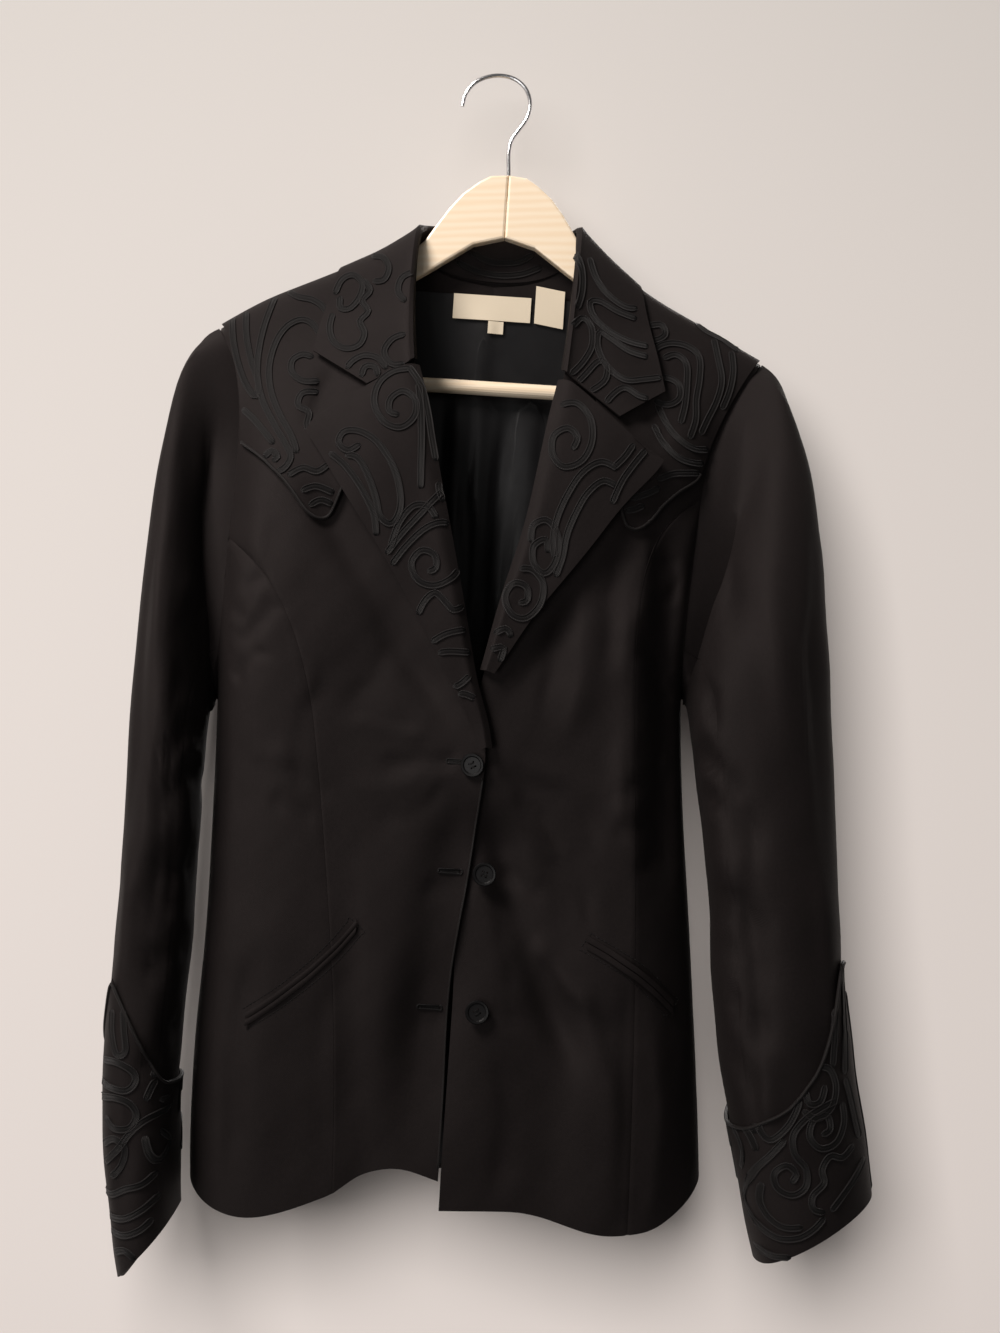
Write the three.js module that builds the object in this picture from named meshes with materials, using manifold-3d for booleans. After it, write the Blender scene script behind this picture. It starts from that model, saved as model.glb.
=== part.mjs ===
// Embroidered blazer hanging on a wooden hanger. Millimetres, +X to the right as seen from the
// front, +Y towards the wall behind it, +Z up. The origin is the inside top of the wire hook.
// The wearer's right front is on the viewer's left, so names ending in _right are at negative x.
import * as THREE from 'three';
import { mergeVertices } from 'three/addons/utils/BufferGeometryUtils.js';
import Module from 'manifold-3d';

const wasm = await Module();
wasm.setup();

// Driving sizes
const rollAngle = THREE.MathUtils.degToRad(3.7);
const stemFoot = new THREE.Vector3(6.2, 0, -71.4);
const clothWall = 1.5;
const thinWall = 1.2;
const labelWall = 1.0;
const seamGap = 1.2;
const layerGap = 0.9;
const ridgeGap = 0.85;
const ridgeDepth = 10;
const frontBulk = 48;
const backBulk = 6;
const sideRound = 45;
const backSideRound = 26;
const centreBackX = -6;
const underarm = { left: -387, right: -366 };
const shoulderTip = { left: -122, right: -123 };

const cloth = { color: 0x17130f, roughness: 0.92, metalness: 0 };
const satin = { color: 0x0d0d10, roughness: 0.35, metalness: 0 };
const woven = { color: 0xd8cdb6, roughness: 0.85, metalness: 0 };
const pine = { color: 0xe2ba84, roughness: 0.55, metalness: 0 };
const steel = { color: 0xa9a9ab, roughness: 0.25, metalness: 1 };
const horn = { color: 0x100f10, roughness: 0.3, metalness: 0 };

// Torso outline seen from the front: x of each side edge at a height z
const sideOutline = {
  left: [
    { z: -745, x: -176 }, { z: -725, x: -180 }, { z: -700, x: -182 }, { z: -660, x: -183 },
    { z: -626, x: -184 }, { z: -570, x: -180 }, { z: -506, x: -180 }, { z: -430, x: -181 },
    { z: -387, x: -182 }, { z: -317, x: -179 }, { z: -262, x: -177 }, { z: -234, x: -175.5 },
    { z: -204, x: -176 }, { z: -166, x: -180 }, { z: -140, x: -187 }, { z: -122, x: -199 },
  ],
  right: [
    { z: -745, x: 178 }, { z: -704, x: 181 }, { z: -680, x: 179 }, { z: -645, x: 176 },
    { z: -610, x: 172 }, { z: -575, x: 168 }, { z: -519, x: 162 }, { z: -450, x: 153 },
    { z: -408, x: 149 }, { z: -366, x: 146 }, { z: -338, x: 143.5 }, { z: -303, x: 143.5 },
    { z: -267, x: 146 }, { z: -228, x: 148 }, { z: -190, x: 153 }, { z: -167, x: 162 },
    { z: -145, x: 173 }, { z: -123, x: 189 },
  ],
};

// Height of the shoulder ridge, carried on across the neck
const shoulderRidge = [
  { x: -205, z: -123 }, { x: -199, z: -122 }, { x: -169, z: -102 }, { x: -117, z: -78 },
  { x: -65, z: -52 }, { x: -40, z: -44 }, { x: -6, z: -40 }, { x: 30, z: -41 },
  { x: 52, z: -42.5 }, { x: 58, z: -46 }, { x: 68, z: -53.5 }, { x: 96, z: -75 }, { x: 120, z: -89 },
  { x: 142, z: -99 }, { x: 167, z: -112 }, { x: 189, z: -123 }, { x: 200, z: -127 },
];

// Top edge of the back panels: the shoulder ridge with the neck scooped out of it
const backNeck = [
  { x: -66, z: -52.5 }, { x: -60, z: -60 }, { x: -48, z: -69 }, { x: -30, z: -75 },
  { x: -6, z: -77 }, { x: 20, z: -75 }, { x: 39, z: -69 }, { x: 51, z: -59 }, { x: 58, z: -46.6 },
];

// Height of the hem, front and back
const frontHem = [
  { x: -180, z: -722 }, { x: -168, z: -734 }, { x: -142, z: -742 }, { x: -118, z: -738 },
  { x: -98, z: -729 }, { x: -76, z: -719 }, { x: -54, z: -702 }, { x: -30, z: -697 },
  { x: -3, z: -705 }, { x: -1.5, z: -724 }, { x: 17, z: -723 }, { x: 63, z: -722 },
  { x: 84, z: -730 }, { x: 110, z: -736 }, { x: 144, z: -731 }, { x: 168, z: -716 },
  { x: 181, z: -701 },
];
const backHem = [
  { x: -180, z: -722 }, { x: -130, z: -726 }, { x: -60, z: -722 }, { x: -6, z: -718 },
  { x: 60, z: -716 }, { x: 130, z: -712 }, { x: 181, z: -701 },
];

// The largest folds. Positive depth is a trough, negative a ridge; along and across in mm.
const frontFolds = [
  { x0: 18, z0: -418, x1: 88, z1: -610, width: 14, depth: -4.5 },
  { x0: 34, z0: -415, x1: 74, z1: -540, width: 12, depth: 4 },
  { x0: 64, z0: -495, x1: 71, z1: -722, width: 16, depth: 5.5 },
  { x0: 98, z0: -560, x1: 104, z1: -736, width: 16, depth: -3.5 },
  { x0: 110, z0: -440, x1: 124, z1: -560, width: 12, depth: -3 },
  { x0: 126, z0: -230, x1: 140, z1: -504, width: 15, depth: 8 },
  { x0: 150, z0: -560, x1: 158, z1: -715, width: 12, depth: 4 },
  { x0: -67, z0: -552, x1: -56, z1: -716, width: 13, depth: 5 },
  { x0: -92, z0: -600, x1: -92, z1: -728, width: 14, depth: -3.5 },
  { x0: -128, z0: -612, x1: -124, z1: -738, width: 15, depth: 3.5 },
  { x0: -83, z0: -415, x1: -16, z1: -411, width: 9, depth: 3 },
  { x0: -60, z0: -330, x1: -98, z1: -405, width: 18, depth: 4 },
  { x0: -150, z0: -400, x1: -150, z1: -560, width: 13, depth: 4.5 },
  { x0: -28, z0: -450, x1: -44, z1: -600, width: 14, depth: -3 },
];
const backFolds = [
  { x0: -70, z0: -180, x1: -84, z1: -520, width: 20, depth: -3.5 },
  { x0: 62, z0: -190, x1: 92, z1: -500, width: 20, depth: -3.5 },
  { x0: -120, z0: -430, x1: -104, z1: -720, width: 22, depth: -4 },
  { x0: 108, z0: -470, x1: 90, z1: -712, width: 22, depth: -4 },
  { x0: -40, z0: -120, x1: 28, z1: -122, width: 12, depth: -2.5 },
];

// Steps round an armhole, 0 at the shoulder tip and 1 at the underarm
const armSteps = [0, 0.03, 0.085, 0.165, 0.27, 0.42, 0.57, 0.67, 0.77, 0.86, 0.94, 1];

function lookUp(table, key, value, at) {
  const rising = table[0][key] < table[table.length - 1][key];
  const rows = rising ? table : [...table].reverse();
  if (at <= rows[0][key]) {
    return rows[0][value];
  }
  for (let i = 1; i < rows.length; i++) {
    if (at <= rows[i][key]) {
      const part = (at - rows[i - 1][key]) / (rows[i][key] - rows[i - 1][key]);
      return rows[i - 1][value] + part * (rows[i][value] - rows[i - 1][value]);
    }
  }
  return rows[rows.length - 1][value];
}

const clamp01 = (t) => Math.min(1, Math.max(0, t));
const ease = (t) => clamp01(t) ** 2 * (3 - 2 * clamp01(t));
const dome = (t) => Math.sqrt(1 - (1 - clamp01(t)) ** 2);
const mix = (a, b, t) => a + (b - a) * t;
const sideX = (side, z) => lookUp(sideOutline[side], 'z', 'x', z);
const ridgeZ = (x) => lookUp(shoulderRidge, 'x', 'z', x);
const armholeZ = (side, k) => mix(shoulderTip[side], underarm[side], armSteps[k]);

function foldDepth(folds, x, z) {
  let sum = 0;
  for (const fold of folds) {
    const dx = fold.x1 - fold.x0;
    const dz = fold.z1 - fold.z0;
    const along = ((x - fold.x0) * dx + (z - fold.z0) * dz) / (dx * dx + dz * dz);
    const t = clamp01(along);
    const off = Math.hypot(x - fold.x0 - t * dx, z - fold.z0 - t * dz);
    const fade = ease(Math.min(t + 0.25, 1.15 - t) * 3);
    sum += fold.depth * fade * Math.exp(-((off / fold.width) ** 2));
  }
  return sum;
}

// How far the cloth has come round from its side edge: 0 at the side seam, 1 on the flat
function roundness(x, z, radius, openness) {
  const part = (side, from) => {
    const open = openness * ease((z - underarm[side]) / 60);
    return dome(from / radius + open);
  };
  return part('left', x - sideX('left', z)) * part('right', sideX('right', z) - x);
}

function frontY(x, z) {
  const below = ridgeZ(x) - z;
  const bulk = frontBulk * ease(below / 170) * roundness(x, z, sideRound, 0.12);
  const calm = ease((below - 60) / 80) * ease(roundness(x, z, sideRound, 0) * 1.2);
  return -ridgeGap - ridgeDepth * dome(below / ridgeDepth) - bulk + calm * foldDepth(frontFolds, x, z);
}

function backY(x, z) {
  const below = ridgeZ(x) - z;
  const turn = (2 * ridgeDepth + backBulk - 0.2) * (1 - roundness(x, z, backSideRound, 0.45));
  const calm = ease((below - 40) / 60) * ease((below - 30) / 90);
  const flat = ridgeDepth * dome(below / ridgeDepth) + backBulk * ease(below / 80);
  return ridgeGap + flat - turn * ease(below / 120) + calm * foldDepth(backFolds, x, z);
}

// The wearer's right front laps over the left one above, and lies behind it near the hem
function lapShift(side, x, z) {
  const upper = ease((z + 600) / 50);
  if (side === 'left') {
    return -3.8 * upper * ease((x + 50) / 36);
  }
  return -3.4 * (1 - upper) * ease((48 - x) / 36);
}

const onFront = (side, x, z) => new THREE.Vector3(x, frontY(x, z) + lapShift(side, x, z), z);
const onBack = (x, z) => new THREE.Vector3(x, backY(x, z), z);

// A point on the front, moved out along the cloth's normal
function layOnFront(side, x, z, lift) {
  const step = 1.5;
  const point = onFront(side, x, z);
  const across = onFront(side, x + step, z).sub(onFront(side, x - step, z));
  const up = onFront(side, x, z).sub(onFront(side, x, z - step));
  const normal = across.cross(up).normalize();
  return point.addScaledVector(normal, lift);
}

function gridNormals(grid, wrap) {
  const rows = grid.length;
  const cols = grid[0].length;
  return grid.map((row, i) => row.map((point, j) => {
    const left = wrap ? row[(j + cols - 1) % cols] : row[Math.max(j - 1, 0)];
    const right = wrap ? row[(j + 1) % cols] : row[Math.min(j + 1, cols - 1)];
    const below = grid[Math.max(i - 1, 0)][j];
    const above = grid[Math.min(i + 1, rows - 1)][j];
    return right.clone().sub(left).cross(above.clone().sub(below)).normalize();
  }));
}

// A closed sheet of cloth from a grid of points on its outer face. facing is 1 where columns
// cross rows into the outward normal, -1 where they cross the other way.
function clothSheet(grid, wall, facing, wrap = false) {
  const rows = grid.length;
  const cols = grid[0].length;
  const normals = gridNormals(grid, wrap);
  const positions = [];
  for (const point of grid.flat()) {
    positions.push(point.x, point.y, point.z);
  }
  grid.forEach((row, i) => row.forEach((point, j) => {
    const inner = point.clone().addScaledVector(normals[i][j], -wall * facing);
    positions.push(inner.x, inner.y, inner.z);
  }));
  const count = rows * cols;
  const outer = (i, j) => i * cols + (j % cols);
  const inner = (i, j) => count + outer(i, j);
  const index = [];
  const quad = (a, b, c, d) => {
    if (facing > 0) {
      index.push(a, b, c, a, c, d);
    } else {
      index.push(a, c, b, a, d, c);
    }
  };
  const lastCol = wrap ? cols : cols - 1;
  for (let i = 0; i < rows - 1; i++) {
    for (let j = 0; j < lastCol; j++) {
      quad(outer(i, j), outer(i, j + 1), outer(i + 1, j + 1), outer(i + 1, j));
      quad(inner(i, j), inner(i + 1, j), inner(i + 1, j + 1), inner(i, j + 1));
    }
    if (!wrap) {
      quad(outer(i, 0), outer(i + 1, 0), inner(i + 1, 0), inner(i, 0));
      quad(outer(i, cols - 1), inner(i, cols - 1), inner(i + 1, cols - 1), outer(i + 1, cols - 1));
    }
  }
  for (let j = 0; j < lastCol; j++) {
    quad(outer(0, j), inner(0, j), inner(0, j + 1), outer(0, j + 1));
    quad(outer(rows - 1, j), outer(rows - 1, j + 1), inner(rows - 1, j + 1), inner(rows - 1, j));
  }
  const geometry = new THREE.BufferGeometry();
  geometry.setAttribute('position', new THREE.Float32BufferAttribute(positions, 3));
  geometry.setIndex(index);
  geometry.computeVertexNormals();
  return geometry;
}

const blazer = new THREE.Group();
const hung = new THREE.Group();
hung.position.copy(stemFoot);
hung.rotation.y = rollAngle;
blazer.add(hung);

function place(name, geometry, look, parent = hung) {
  const mesh = new THREE.Mesh(geometry, new THREE.MeshStandardMaterial(look));
  mesh.name = name;
  parent.add(mesh);
  return mesh;
}

// Fronts. Each row runs from the side seam or armhole (side) over the princess seam (seam) to
// the front edge or the roll of the lapel (edge). Rows with arm are on the armhole.
const frontRows = {
  left: [
    { side: -722, seamX: -75, seamZ: -719, edgeX: -3.2, edgeZ: -705 },
    { side: -700, seamX: -76, seamZ: -690, edgeX: -3, edgeZ: -678 },
    { side: -660, seamX: -78, seamZ: -650, edgeX: -3, edgeZ: -640 },
    { side: -612, seamX: -81, seamZ: -604, edgeX: -4.5, edgeZ: -597 },
    { side: -562, seamX: -86, seamZ: -556, edgeX: -3, edgeZ: -550 },
    { side: -512, seamX: -92, seamZ: -508, edgeX: 4, edgeZ: -504 },
    { side: -466, seamX: -98, seamZ: -464, edgeX: 7, edgeZ: -462 },
    { side: -425, seamX: -104, seamZ: -424, edgeX: 12, edgeZ: -416 },
    { arm: 11, seamX: -110, seamZ: -388, edgeX: 8, edgeZ: -388 },
    { arm: 10, seamX: -117, seamZ: -360, edgeX: 0, edgeZ: -368 },
    { arm: 9, seamX: -126, seamZ: -335, edgeX: -6, edgeZ: -344 },
    { arm: 8, seamX: -138, seamZ: -311, edgeX: -12, edgeZ: -316 },
    { arm: 7, seamX: -154, seamZ: -291, edgeX: -20, edgeZ: -284 },
    { arm: 6, seamX: -173, seamZ: -275, edgeX: -28, edgeZ: -252 },
    { arm: 5, edgeX: -38, edgeZ: -214 },
    { arm: 4, edgeX: -48, edgeZ: -170 },
    { arm: 3, edgeX: -60, edgeZ: -134 },
    { arm: 2, edgeX: -64, edgeZ: -96 },
    { arm: 1, edgeX: -66, edgeZ: -65 },
    { arm: 0.5, edgeX: -66, edgeZ: -58 },
    { arm: 0, edgeX: -66, edgeZ: -53 },
  ],
  right: [
    { side: -701, seamX: 128, seamZ: -735, edgeX: -1.4, edgeZ: -724 },
    { side: -684, seamX: 127.5, seamZ: -696, edgeX: -1.6, edgeZ: -690 },
    { side: -650, seamX: 126, seamZ: -650, edgeX: -1.4, edgeZ: -650 },
    { side: -605, seamX: 124.5, seamZ: -604, edgeX: -1.2, edgeZ: -606 },
    { side: -555, seamX: 122, seamZ: -556, edgeX: -1, edgeZ: -556 },
    { side: -505, seamX: 119, seamZ: -506, edgeX: -5, edgeZ: -508 },
    { side: -456, seamX: 116, seamZ: -458, edgeX: -6, edgeZ: -460 },
    { side: -408, seamX: 112, seamZ: -412, edgeX: -7, edgeZ: -415 },
    { arm: 11, seamX: 109.5, seamZ: -368, edgeX: 2, edgeZ: -372 },
    { arm: 10, seamX: 108.5, seamZ: -334, edgeX: 9, edgeZ: -343 },
    { arm: 9, seamX: 108.5, seamZ: -306, edgeX: 14, edgeZ: -317 },
    { arm: 8, seamX: 111, seamZ: -280, edgeX: 21, edgeZ: -288 },
    { arm: 7, seamX: 119, seamZ: -256, edgeX: 29, edgeZ: -260 },
    { arm: 6, seamX: 130, seamZ: -240, edgeX: 34, edgeZ: -232 },
    { arm: 5, seamX: 144, seamZ: -228, edgeX: 38, edgeZ: -204 },
    { arm: 4, edgeX: 44, edgeZ: -168 },
    { arm: 3, edgeX: 50, edgeZ: -138 },
    { arm: 2, edgeX: 53.5, edgeZ: -98 },
    { arm: 1, edgeX: 57, edgeZ: -60 },
    { arm: 0.5, edgeX: 58, edgeZ: -51.5 },
    { arm: 0, edgeX: 58, edgeZ: -46 },
  ],
};
const sideSpread = [0, 0.016, 0.07, 0.19, 0.42, 0.7, 1];
const frontSpread = [0, 0.1, 0.24, 0.4, 0.56, 0.72, 0.87, 1];

function sideEnd(side, row) {
  if (row.arm === undefined) {
    return { x: sideX(side, row.side), z: row.side };
  }
  const whole = Math.floor(row.arm);
  const z = mix(armholeZ(side, whole), armholeZ(side, whole + 1) || 0, row.arm - whole);
  const height = row.arm === whole ? armholeZ(side, whole) : z;
  return { x: sideX(side, height), z: height };
}

// Rows near the hem bend to the hem line, rows near the shoulder bend to the ridge
function bentRow(side, start, end, spread, rowIndex, rowCount) {
  return spread.map((t) => {
    const x = mix(start.x, end.x, t);
    let z = mix(start.z, end.z, t);
    const hem = lookUp(frontHem, 'x', 'z', x);
    const hemPull = [1, 0.75, 0.3][rowIndex] || 0;
    const hemLine = hem - mix(frontRows[side][0].side, end.z, 0) + z;
    z = rowIndex === 0 ? hem : mix(z, hemLine, hemPull * 0.15);
    const fromTop = rowCount - 1 - rowIndex;
    if (fromTop < 4) {
      const straight = mix(ridgeZ(start.x), ridgeZ(end.x), t);
      z += (ridgeZ(x) - straight) * [1, 1, 0.9, 0.5][fromTop];
    }
    return onFront(side, x, z);
  });
}

for (const [side, wearer] of [['left', 'right'], ['right', 'left']]) {
  const rows = frontRows[side];
  const toCentre = side === 'left' ? 1 : -1;
  const halfGap = (row) => (row.arm <= 7 ? 0.8 : 0.5) * seamGap;
  const seamed = rows.filter((row) => row.seamX !== undefined);
  const sidePanel = seamed.map((row, i) => {
    const start = sideEnd(side, row);
    const end = { x: row.seamX - toCentre * halfGap(row), z: row.seamZ };
    return bentRow(side, start, end, sideSpread, i, 99);
  });
  place(`side_front_${wearer}`, clothSheet(sidePanel, clothWall, toCentre), cloth);
  const mainPanel = rows.map((row, i) => {
    const start = row.seamX === undefined
      ? sideEnd(side, row)
      : { x: row.seamX + toCentre * halfGap(row), z: row.seamZ };
    const end = { x: row.edgeX, z: row.edgeZ };
    return bentRow(side, start, end, frontSpread, i, rows.length);
  });
  place(`front_${wearer}`, clothSheet(mainPanel, clothWall, toCentre), cloth);
}

// Back, in two panels with a centre-back seam
const backSpread = {
  left: [0, 0.02, 0.08, 0.2, 0.44, 0.688, 0.715, 0.77, 0.86, 1],
  right: [0, 0.02, 0.08, 0.2, 0.44, 0.655, 0.68, 0.74, 0.86, 1],
};
function backTop(x) {
  const inNeck = x > backNeck[0].x && x < backNeck[backNeck.length - 1].x;
  return inNeck ? lookUp(backNeck, 'x', 'z', x) : ridgeZ(x);
}
for (const [side, wearer] of [['left', 'right'], ['right', 'left']]) {
  const outward = side === 'left' ? -1 : 1;
  const centre = centreBackX + (outward * seamGap) / 2;
  const hemEnd = frontRows[side][0].side;
  const below = frontRows[side].filter((row) => row.arm === undefined).map((row) => row.side);
  const armRows = [11, 10, 9, 8, 7, 6, 5, 4, 3, 2, 1, 0].map((k) => armholeZ(side, k));
  armRows.splice(-1, 0, mix(armholeZ(side, 0), armholeZ(side, 1), 0.35));
  const grid = [...below, ...armRows].map((height) => {
    const start = sideX(side, height);
    const rise = (height - hemEnd) / (shoulderTip[side] - hemEnd);
    return backSpread[side].map((t) => {
      const x = mix(start, centre, t);
      const low = lookUp(backHem, 'x', 'z', x);
      const straight = mix(low, backTop(x), rise);
      const z = mix(height, straight, ease(t * 3));
      return onBack(x, rise > 0.999 ? backTop(x) : Math.min(z, backTop(x) - 0.5));
    });
  });
  place(`back_${wearer}`, clothSheet(grid, clothWall, outward), cloth);
}

// Sleeves. Ring 0 is the armhole; each other ring runs from its outer point to its inner one,
// as deep in y as front and back say.
const sleeveRings = {
  left: [
    { outX: -212, outZ: -131, inX: -183.2, inZ: -390, front: -31, back: 10 },
    { outX: -222, outZ: -150, inX: -184, inZ: -393, front: -44, back: 13 },
    { outX: -229, outZ: -192, inX: -185, inZ: -398, front: -58, back: 15 },
    { outX: -234, outZ: -250, inX: -186, inZ: -406, front: -70, back: 16 },
    { outX: -236, outZ: -320, inX: -186, inZ: -422, front: -78, back: 16 },
    { outX: -238, outZ: -385, inX: -185.5, inZ: -446, front: -81, back: 16 },
    { outX: -237, outZ: -444, inX: -185, inZ: -476, front: -80, back: 15 },
    { outX: -236, outZ: -503, inX: -184, inZ: -515, front: -82, back: 16 },
    { outX: -238, outZ: -556, inX: -184.5, inZ: -556, front: -80, back: 13 },
    { outX: -237, outZ: -600, inX: -188, inZ: -600, front: -84, back: 14 },
    { outX: -238, outZ: -645, inX: -189, inZ: -644, front: -83, back: 10 },
    { outX: -234, outZ: -689, inX: -188, inZ: -686, front: -85, back: 9 },
    { outX: -228, outZ: -728, inX: -185.5, inZ: -718, front: -84, back: 5 },
    { outX: -216, outZ: -784, inX: -183.5, inZ: -739, front: -84, back: 2 },
  ],
  right: [
    { outX: 199, outZ: -131, inX: 147.2, inZ: -369, front: -31, back: 10 },
    { outX: 208, outZ: -147, inX: 148.2, inZ: -372, front: -43, back: 13 },
    { outX: 220, outZ: -177, inX: 149.2, inZ: -378, front: -55, back: 15 },
    { outX: 232, outZ: -222, inX: 150.6, inZ: -386, front: -64, back: 16 },
    { outX: 242, outZ: -289, inX: 152.8, inZ: -400, front: -70, back: 16 },
    { outX: 249, outZ: -355, inX: 155.8, inZ: -418, front: -72, back: 16 },
    { outX: 255, outZ: -415, inX: 160, inZ: -444, front: -71, back: 15 },
    { outX: 261, outZ: -478, inX: 166, inZ: -480, front: -74, back: 16 },
    { outX: 266, outZ: -530, inX: 171.5, inZ: -528, front: -74, back: 14 },
    { outX: 271, outZ: -572, inX: 177.5, inZ: -577, front: -77, back: 14 },
    { outX: 278, outZ: -610, inX: 184.5, inZ: -615, front: -78, back: 12 },
    { outX: 285, outZ: -643, inX: 194, inZ: -652, front: -79, back: 10 },
    { outX: 291, outZ: -671, inX: 207, inZ: -702, front: -78, back: 8 },
    { outX: 295.5, outZ: -696, inX: 219, inZ: -750, front: -76, back: 6 },
  ],
};
const sleeveFolds = {
  left: [
    { ring: 5, angle: 70, reach: 3.2, spread: 34, depth: 4 },
    { ring: 9.5, angle: 95, reach: 2.4, spread: 26, depth: 3 },
    { ring: 7.5, angle: 140, reach: 0.8, spread: 50, depth: 3 },
    { ring: 9, angle: 130, reach: 0.7, spread: 50, depth: 3 },
    { ring: 8, angle: 215, reach: 0.9, spread: 60, depth: 2.5 },
  ],
  right: [
    { ring: 4.5, angle: 50, reach: 3, spread: 30, depth: -3 },
    { ring: 8, angle: 145, reach: 0.8, spread: 46, depth: 3.5 },
    { ring: 9.4, angle: 135, reach: 0.8, spread: 46, depth: 3.5 },
    { ring: 6, angle: 120, reach: 2, spread: 24, depth: 3 },
    { ring: 8.5, angle: 220, reach: 0.9, spread: 60, depth: 2.5 },
  ],
};
const armStepCount = armSteps.length - 1;
const aroundCount = 2 * armStepCount;

// Station k counts round the sleeve: outer edge, down the front, inner edge, up the back
function station(k) {
  const turn = ((k % aroundCount) + aroundCount) % aroundCount;
  const front = turn <= armStepCount;
  const step = front ? turn : aroundCount - turn;
  const whole = Math.floor(step);
  const next = Math.min(whole + 1, armStepCount);
  const w = mix(armSteps[whole], armSteps[next], step - whole);
  const flank = THREE.MathUtils.radToDeg(Math.acos(1 - 2 * w));
  return { w, front, angle: front ? flank : 360 - flank };
}

function sleeveRingPoint(side, ring, k) {
  const { w, front, angle } = station(k);
  if (ring === 0) {
    const z = mix(shoulderTip[side], underarm[side], w);
    const edge = sideX(side, z);
    const y = front ? frontY(edge, z) : backY(edge, z);
    const bare = w < 0.001 || w > 0.999;
    const middle = (frontY(edge, z) + backY(edge, z)) / 2;
    return new THREE.Vector3(edge + (side === 'left' ? -1.3 : 1.3), bare ? middle : y, z);
  }
  const row = sleeveRings[side][ring - 1];
  const middle = (row.front + row.back) / 2;
  const half = (front ? row.front : row.back) - middle;
  const point = new THREE.Vector3(
    mix(row.outX, row.inX, w),
    middle + half * (2 * Math.sqrt(w * (1 - w))) ** 0.8,
    mix(row.outZ, row.inZ, w),
  );
  const centre = new THREE.Vector3(
    (row.outX + row.inX) / 2, middle, (row.outZ + row.inZ) / 2,
  );
  const inward = centre.sub(point).normalize();
  for (const fold of sleeveFolds[side]) {
    const turn = Math.abs(angle - fold.angle);
    const near = Math.exp(-(((ring - fold.ring) / fold.reach) ** 2) - (turn / fold.spread) ** 2);
    point.addScaledVector(inward, fold.depth * near);
  }
  return point;
}

function sleevePoint(side, ring, k) {
  const whole = Math.min(Math.floor(ring), sleeveRings[side].length - 1);
  const from = sleeveRingPoint(side, whole, k);
  return from.lerp(sleeveRingPoint(side, whole + 1, k), ring - whole);
}

const frontSeamStation = 9;
const backSeamStation = 18;
const ringCount = sleeveRings.left.length + 1;
const seamPart = 0.05;

function stations(from, to) {
  const list = [];
  for (let k = from; k <= to; k++) {
    list.push(k);
  }
  list[0] += seamPart;
  list[list.length - 1] -= seamPart;
  return list;
}

for (const [side, wearer] of [['left', 'right'], ['right', 'left']]) {
  const facing = side === 'left' ? -1 : 1;
  const top = stations(backSeamStation - aroundCount, frontSeamStation);
  const under = stations(frontSeamStation, backSeamStation);
  for (const [name, list] of [['top', top], ['under', under]]) {
    const grid = [];
    for (let ring = 0; ring < ringCount; ring++) {
      grid.push(list.map((k) => sleeveRingPoint(side, ring, k)));
    }
    place(`sleeve_${name}_${wearer}`, clothSheet(grid, clothWall, facing), cloth);
  }
}

// Cuffs: cover pieces on the sleeve ends with a pointed upper edge, in sleeve rings
const cuffTops = {
  left: [
    { at: 0, ring: 10.7 }, { at: 2, ring: 9.9 }, { at: 3, ring: 9.5 }, { at: 4, ring: 9.75 },
    { at: 6, ring: 10.35 }, { at: 9, ring: 11 }, { at: 11, ring: 11.15 }, { at: 16, ring: 11.3 },
    { at: 22, ring: 10.7 },
  ],
  right: [
    { at: 0, ring: 9.35 }, { at: 1, ring: 9.15 }, { at: 2, ring: 9.2 }, { at: 3, ring: 9.9 },
    { at: 4, ring: 10.8 }, { at: 6, ring: 11.6 }, { at: 9, ring: 12 }, { at: 11, ring: 12.1 },
    { at: 16, ring: 11.6 }, { at: 19, ring: 10.8 }, { at: 22, ring: 9.35 },
  ],
};
const cuffRows = [1, 0.8, 0.6, 0.4, 0.2, 0];
for (const [side, wearer] of [['left', 'right'], ['right', 'left']]) {
  const facing = side === 'left' ? -1 : 1;
  const list = stations(0, aroundCount - 1).map((k) => Math.round(k));
  const base = cuffRows.map((down) => list.map((k) => {
    const top = lookUp(cuffTops[side], 'at', 'ring', k);
    return sleevePoint(side, mix(ringCount - 1, top, down), k);
  }));
  const normals = gridNormals(base, true);
  const raised = base.map((row, i) => row.map((point, j) => (
    point.clone().addScaledVector(normals[i][j], facing * (layerGap + 0.2 + thinWall))
  )));
  place(`cuff_${wearer}`, clothSheet(raised, thinWall, facing, true), cloth);
}

// Yokes: pointed cover pieces from the shoulder down, each with a rounded tab at its tip. Rows
// run from the lower edge up; out is the armhole side, in the side under the lapel.
const yokeRows = {
  left: [
    { outX: -124, outZ: -252, inX: -106, inZ: -256 },
    { outX: -136, outZ: -236, inX: -100, inZ: -240 },
    { outX: -155, outZ: -219, inX: -94, inZ: -222 },
    { outX: -173.5, outZ: -207, inX: -86, inZ: -196 },
    { outX: -175, outZ: -186, inX: -78, inZ: -166 },
    { outX: -179.5, outZ: -164, inX: -72, inZ: -132 },
    { outX: -186, outZ: -143, inX: -69, inZ: -98 },
    { outX: -192, inX: -68, below: 9 },
    { outX: -195, inX: -67.5, below: 3 },
    { outX: -197, inX: -67.2, below: 0.2 },
  ],
  right: [
    { outX: 112, outZ: -245, inX: 95, inZ: -250 },
    { outX: 123, outZ: -231, inX: 91, inZ: -236 },
    { outX: 135, outZ: -220, inX: 86, inZ: -222 },
    { outX: 146, outZ: -214, inX: 80, inZ: -200 },
    { outX: 150, outZ: -194, inX: 72, inZ: -172 },
    { outX: 161, outZ: -166, inX: 65, inZ: -138 },
    { outX: 173, outZ: -143, inX: 61, inZ: -100 },
    { outX: 182, inX: 60, below: 9 },
    { outX: 185, inX: 59.6, below: 3 },
    { outX: 187, inX: 59.4, below: 0.2 },
  ],
};
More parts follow.
